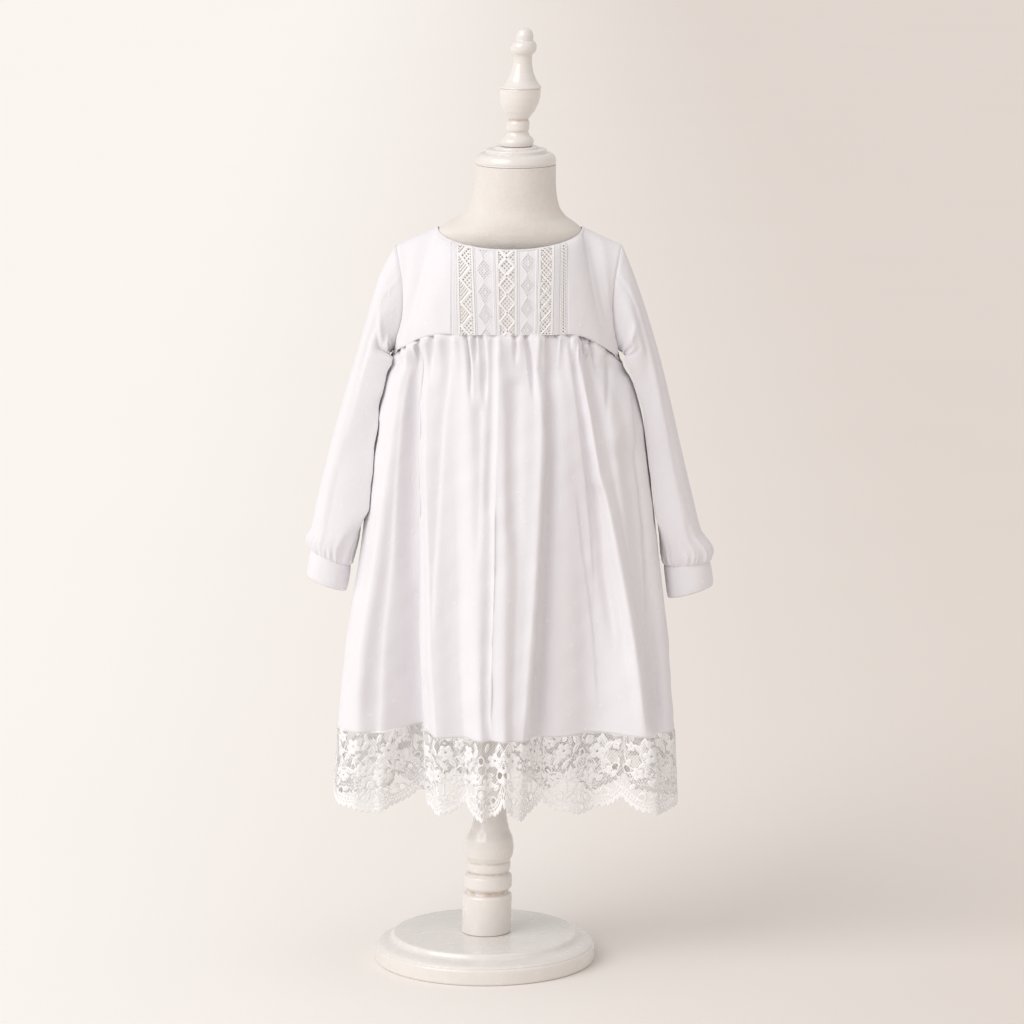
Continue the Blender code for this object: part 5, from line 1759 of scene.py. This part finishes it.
torso_turn = np.linspace(0, 2 * math.pi, 80, endpoint=False)
table = np.array(TORSO)
spans = ((345, 360, 10), (360, 700, 40), (700, NECK_TOP_Z, 70))
levels = np.unique(np.concatenate([np.linspace(*span) for span in spans]))
rings = []
for z in levels[::-1]:
    half_width, half_depth, squareness, shift = (float(curve_through(np.array([z]), table[:, 0], table[:, part])[0])
                                                 for part in range(1, 5))
    cosine, sine = np.cos(torso_turn), np.sin(torso_turn)
    x = shift + half_width * np.sign(cosine) * np.abs(cosine) ** (2 / squareness)
    y = half_depth * np.sign(sine) * np.abs(sine) ** (2 / squareness)
    rings.append(np.column_stack([x, y, np.full_like(x, z)]))
torso = make_piece("form_torso_cover", closed_loft("form_torso_cover", leaned(np.array(rings), STAND_LEAN, 0, 0)))
dress(torso, form_linen, "form_cover", "form_torso")

# %% Turned pieces
TURNING_STEPS, CORNER_RADIUS = 72, 0.9
BASE_PROFILE = [
    (0, BASE_HEIGHT), (92, BASE_HEIGHT), (93.6, 26.4), (94.6, 23.8), (97.5, 22), (102, 20.8),
    (106.5, 19.2), (109.3, 17.2), (108.9, 16.3), (110.2, 15.6), (BASE_RADIUS, 14.4), (BASE_RADIUS, 1.6),
    (109.6, 0), (0, 0),
]
POST_PROFILE = [
    (0, 344.6), (15, 344.6), (15, 172), (16.4, 148), (19.4, 134.6), (23.4, 126), (25, 116),
    (24.2, 108), (21.6, 102.6), (22.4, 99), (22, 93), (20.4, 90.4), (24.2, 86.8), (24.6, 75.6),
    (20.8, 71.4), (20.8, 69), (24.2, 67.8), (POST_RADIUS, 65.8), (POST_RADIUS, BASE_HEIGHT + FACE_GAP),
    (0, BASE_HEIGHT + FACE_GAP),
]
CAP_PROFILE = [
    (0, 827), (21, 827), (22.2, 826.2), (22.4, 824.8), (29.2, 824.4), (30.2, 823.4), (30.2, 820.6),
    (35.8, 820), (38.4, 817.4), (39.9, 813.6), (39.9, 811.3), (39.1, 810.7), (39.6, 810),
    (39.2, NECK_TOP_Z + FACE_GAP), (0, NECK_TOP_Z + FACE_GAP),
]
FINIAL_PROFILE = [
    (0, 943.5), (3, 943.5), (6.4, 941.6), (8.7, 936.8), (8.9, 931), (11.6, 929.4), (12.8, 926),
    (12.8, 922.4), (11.4, 919.4), (8.9, 917.2), (9.4, 909), (11.4, 900), (15.2, 892), (18.8, 887.2),
    (20.2, 886.2), (20.3, 884.9), (19.5, 884.2), (20.2, 883.4), (20.1, 882.4), (20, 876), (18.6, 869),
    (15.6, 862), (11.6, 856.4), (9.6, 853.4), (11.4, 850.4), (11.4, 843.6), (10.4, 841.8), (12.2, 838),
    (16.2, 834.4), (17, 831.4), (16, 827 + FACE_GAP), (0, 827 + FACE_GAP),
]


def softened(profile):
    """The profile with each corner rounded a little, as paint and sanding leave it."""
    points, path = np.array(profile, float), []
    for before, corner, after in zip(points, points[1:], points[2:]):
        start, end = (corner + unit(to - corner) * min(CORNER_RADIUS, np.linalg.norm(to - corner) * 0.42)
                      for to in (before, after))
        for share in np.linspace(0, 1, 4):
            path.append(start * (1 - share) ** 2 + corner * 2 * share * (1 - share) + end * share ** 2)
    return np.array([points[0], *path, points[-1]])


def groove_depths(path):
    """How far each place of the profile lies inside the line between its neighbours, 0 to 1."""
    along, radius = arc_lengths(path), path[:, 0]
    depth = 0.0
    for span, full in ((7.0, 3.0), (1.8, 0.5)):
        beside = np.minimum(np.interp(along + span, along, radius), np.interp(along - span, along, radius))
        depth = depth + np.clip((beside - radius) / full, 0, 1)
    return np.minimum(depth, 1.0)


def turned_piece(node, profile, slope=0.0, pivot_z=0.0, start_x=0.0):
    name, path = f"form_{node}", softened(profile)[1:-1]
    mesh = closed_loft(name, leaned(swept(path, TURNING_STEPS), slope, pivot_z, start_x))
    groove = mesh.attributes.new("groove", "FLOAT", "POINT")
    groove.data.foreach_set("value", np.repeat(groove_depths(path), TURNING_STEPS).astype(np.float32))
    piece = make_piece(name, mesh)
    mesh.set_sharp_from_angle(angle=math.radians(38.0))
    dress(piece, painted_wood, "painted_wood", node)


foot_z = FINIAL_PROFILE[-1][1]
turned_piece("base", BASE_PROFILE)
turned_piece("post", POST_PROFILE, STAND_LEAN)
turned_piece("neck_cap", CAP_PROFILE, STAND_LEAN)
turned_piece("finial", FINIAL_PROFILE, FINIAL_LEAN, foot_z, STAND_LEAN * foot_z)

# %% [markdown]
# ## Buttons
#
# Small round buttons with a rounded rim and a shallow dish, one at each cuff and three down the back. Each sits
# flat against the cloth it is sewn to.

# %% Buttons
BUTTON_PROFILE = [(1.8, 1.45), (2.7, 1.55), (3.2, 1.95), (3.9, 2.0), (4.3, 1.7), (4.5, 1.2), (4.5, 0.6), (4.0, 0.05)]


def add_button(node, cloth, row, column, gap):
    """A button just off a grid of cloth points, whose rows run downwards, and square to it."""
    way = normals_of(cloth)[row, column]
    mesh = closed_loft(f"{node}_pearl", swept(np.array(BUTTON_PROFILE), 40))
    turn = Vector(way).to_track_quat("Z", "Y").to_matrix().to_4x4()
    mesh.transform(Matrix.Translation(Vector(cloth[row, column] + way * gap) * MM) @ turn)
    dress(make_piece(f"{node}_pearl", mesh), pearl, "pearl_button", node)


lap_points = back_halves["right"][::-1]
for number, share in enumerate((0.19, 0.5, 0.81), 1):
    add_button(f"back_button_{number}", lap_points, int(round((1 - share) * (len(lap_points) - 1))), -7, 0.5)
for side, where in SIDE_NAMES.items():
    add_button(f"cuff_button_{where}", cuff_bands[side], len(cuff_bands[side]) // 2, -12 * side, 0.3)

# %% [markdown]
# ## Neck binding and stitches
#
# A narrow folded binding finishes the neck, front and back. It is one closed band, oval in section, that follows
# the neck edge and laps a little over the yoke.

# %% Neck binding
def neck_loop(count):
    """The whole neck edge as a closed loop, and at each place the way off the opening and out of the cloth."""
    angle = np.linspace(0, math.pi, count)
    loop = np.concatenate([neckline(FRONT, angle), neckline(BACK, angle[::-1])])
    for _ in range(6):
        loop = (np.roll(loop, -1, axis=0) + 2 * loop + np.roll(loop, 1, axis=0)) / 4
    off = unit((loop - (NECK_CENTRE_X, 0.0, 0.0)) * (1.0, 1.0, 0.0))
    along = unit(np.roll(loop, -1, axis=0) - np.roll(loop, 1, axis=0))
    away = off * 0.96 + (0.0, 0.0, -0.28)
    away = unit(away - along * np.sum(away * along, axis=1, keepdims=True))
    out = np.cross(along, away)
    out *= np.sign(out[:, 2:3])
    return loop, away, out


BINDING_HALF_WIDTH, BINDING_HALF_THICKNESS = 1.45, 0.75
loop, away, out = neck_loop(110)
spin = np.linspace(0, 2 * math.pi, 12, endpoint=False)
core = loop + away * 1.2 + out * 0.35
band = (core[:, None] + away[:, None] * (BINDING_HALF_WIDTH * np.cos(spin))[None, :, None]
        + out[:, None] * (BINDING_HALF_THICKNESS * np.sin(spin))[None, :, None])
band = np.concatenate([band, band[:1]])
binding_mesh = sheet_mesh("gown_neck_binding", band, wraps=True)
work = bmesh.new()
work.from_mesh(binding_mesh)
bmesh.ops.remove_doubles(work, verts=work.verts[:], dist=0.00001)
bmesh.ops.recalc_face_normals(work, faces=work.faces[:])
work.to_mesh(binding_mesh)
work.free()
binding = make_piece("gown_neck_binding", binding_mesh)
dress(binding, cotton, "white_cotton")

# %% [markdown]
# Stitches repeat thousands of times, so one small thread is placed along every seam line by Geometry Nodes. The
# lines are one curve object with a spline for each seam, and the pitch and size are inputs of the node tree.

# %% Stitch tree
def stitch_tree():
    tree = bpy.data.node_groups.new("stitches_along_seams", "GeometryNodeTree")
    tree.interface.new_socket("Geometry", in_out="INPUT", socket_type="NodeSocketGeometry")
    for name, value in (("Pitch", 0.0021), ("Length", 0.0014), ("Radius", 0.00022)):
        socket = tree.interface.new_socket(name, in_out="INPUT", socket_type="NodeSocketFloat")
        socket.default_value = value
    tree.interface.new_socket("Thread", in_out="INPUT", socket_type="NodeSocketMaterial")
    tree.interface.new_socket("Geometry", in_out="OUTPUT", socket_type="NodeSocketGeometry")
    nodes = tree.nodes
    start, end = nodes.new("NodeGroupInput"), nodes.new("NodeGroupOutput")
    spots = nodes.new("GeometryNodeCurveToPoints")
    spots.mode = "LENGTH"
    bead = nodes.new("GeometryNodeMeshUVSphere")
    bead.inputs["Segments"].default_value, bead.inputs["Rings"].default_value = 6, 4
    bead.inputs["Radius"].default_value = 1.0
    half = nodes.new("ShaderNodeMath")
    half.operation = "MULTIPLY"
    half.inputs[1].default_value = 0.5
    size = nodes.new("ShaderNodeCombineXYZ")
    place = nodes.new("GeometryNodeInstanceOnPoints")
    real = nodes.new("GeometryNodeRealizeInstances")
    colour = nodes.new("GeometryNodeSetMaterial")
    for source, output, target, entry in (
            (start, "Geometry", spots, "Curve"), (start, "Pitch", spots, "Length"), (start, "Length", half, 0),
            (start, "Radius", size, "X"), (start, "Radius", size, "Y"), (half, 0, size, "Z"),
            (spots, "Points", place, "Points"), (spots, "Rotation", place, "Rotation"),
            (bead, "Mesh", place, "Instance"), (size, "Vector", place, "Scale"),
            (place, "Instances", real, "Geometry"), (real, "Geometry", colour, "Geometry"),
            (start, "Thread", colour, "Material"), (colour, "Geometry", end, "Geometry")):
        tree.links.new(source.outputs[output], target.inputs[entry])
    return tree


def seam_curve(name, lines):
    """One curve object with a straight-sided spline for each line, in millimetres."""
    curve = bpy.data.curves.new(name, "CURVE")
    curve.dimensions = "3D"
    for line in lines:
        spline = curve.splines.new("POLY")
        spline.points.add(len(line) - 1)
        flat = np.column_stack([np.asarray(line) * MM, np.ones(len(line))])
        spline.points.foreach_set("co", flat.ravel())
    piece = bpy.data.objects.new(name, curve)
    bpy.context.scene.collection.objects.link(piece)
    return piece


def level_line(points, distance, lift):
    """A line across a sheet at a distance from its first row, just off its surface."""
    along = run_down(points)
    raised = points + normals_of(points) * lift
    return np.array([[np.interp(distance, along[:, column], raised[:, column, axis]) for axis in range(3)]
                     for column in range(points.shape[1])])


seam_lines = []
for rows in cuff_bands.values():
    seam_lines += [level_line(rows, 2.2, 0.12), level_line(rows[::-1], 2.2, -0.12)]
for grid in (skirt_front_points, skirt_back_points):
    seam_lines.append(level_line(grid[::-1], 3.4, -0.12))
for grid in (*yoke_grids.values(), *back_halves.values()):
    seam_lines.append(level_line(grid, 2.9, -0.12))
seam_lines.append(core + out * BINDING_HALF_THICKNESS)

seams = seam_curve("seam_lines", seam_lines)
tree = stitch_tree()
sewing = seams.modifiers.new("stitches", "NODES")
sewing.node_group = tree
ids = {item.name: item.identifier for item in tree.interface.items_tree if item.in_out == "INPUT"}
sewing[ids["Thread"]] = thread
graph = bpy.context.evaluated_depsgraph_get()
stitches = make_piece("gown_stitches", bpy.data.meshes.new_from_object(seams.evaluated_get(graph)))
seams.modifiers.clear()
bpy.data.objects.remove(seams)
dress(stitches, thread, "white_cotton")

# %% [markdown]
# ## What each sheet was cut to
#
# Every cloth piece prints how large it lay flat before it was sewn. The skirt panels are
# plain rectangles, gathered along the top. The sleeves are tapered, and the yoke's panels are cut to shape.

# %% Flat sizes
def grid_area(points):
    """Area of a grid of points in square millimetres."""
    first, second = points[1:, 1:] - points[:-1, :-1], points[1:, :-1] - points[:-1, 1:]
    return float(np.linalg.norm(np.cross(first, second), axis=2).sum() / 2)


def size_of(points):
    """The widest and the longest measure of a sheet."""
    wide = np.linalg.norm(np.diff(points, axis=1), axis=2).sum(axis=1).max()
    tall = np.linalg.norm(np.diff(points, axis=0), axis=2).sum(axis=0).max()
    return float(wide), float(tall)


def declare(node, size, share=1.0):
    """Says how large the sheet was cut; share is how much of that rectangle is cloth."""
    wide, tall = (measure * MM for measure in size)
    area = None if share == 1.0 else wide * tall * share
    print(f"{node}: cut {size[0]:.0f} by {size[1]:.0f} mm, {share:.0%} of it cloth")


SEAM_ALLOWANCE = 12.0
skirt_length = SEAM_CENTRE_Z - HEM_Z + SEAM_ALLOWANCE
for where, top, sewing in (("front", "yoke_front_centre", [stitches]), ("back", "yoke_back_left", [])):
    width = lace_cuts[f"lace_{where}"][0] + SEAM_ALLOWANCE
    declare(f"skirt_{where}", (width, skirt_length))
for where in ("front", "back"):
    width, height, share = lace_cuts[f"lace_{where}"]
    declare(f"lace_{where}", (width, height), share)
for side, where in SIDE_NAMES.items():
    for node, grid in ((f"yoke_front_{where}", yoke_grids[f"yoke_front_{where}"]),
                       (f"yoke_back_{where}", back_halves[where])):
        wide, tall = size_of(grid)
        declare(node, (wide, tall), grid_area(grid) / (wide * tall))
    declare(f"sleeve_{where}", sleeve_sizes[where], 0.78)
    declare(f"cuff_{where}", size_of(cuff_bands[side]))
declare("yoke_front_centre", (panel_width, panel_height), centre_share)
for strip in STRIPS[:-1]:
    declare(strip.node, (strip.right - strip.left, panel_height),
            lace_cuts[strip.node][2])
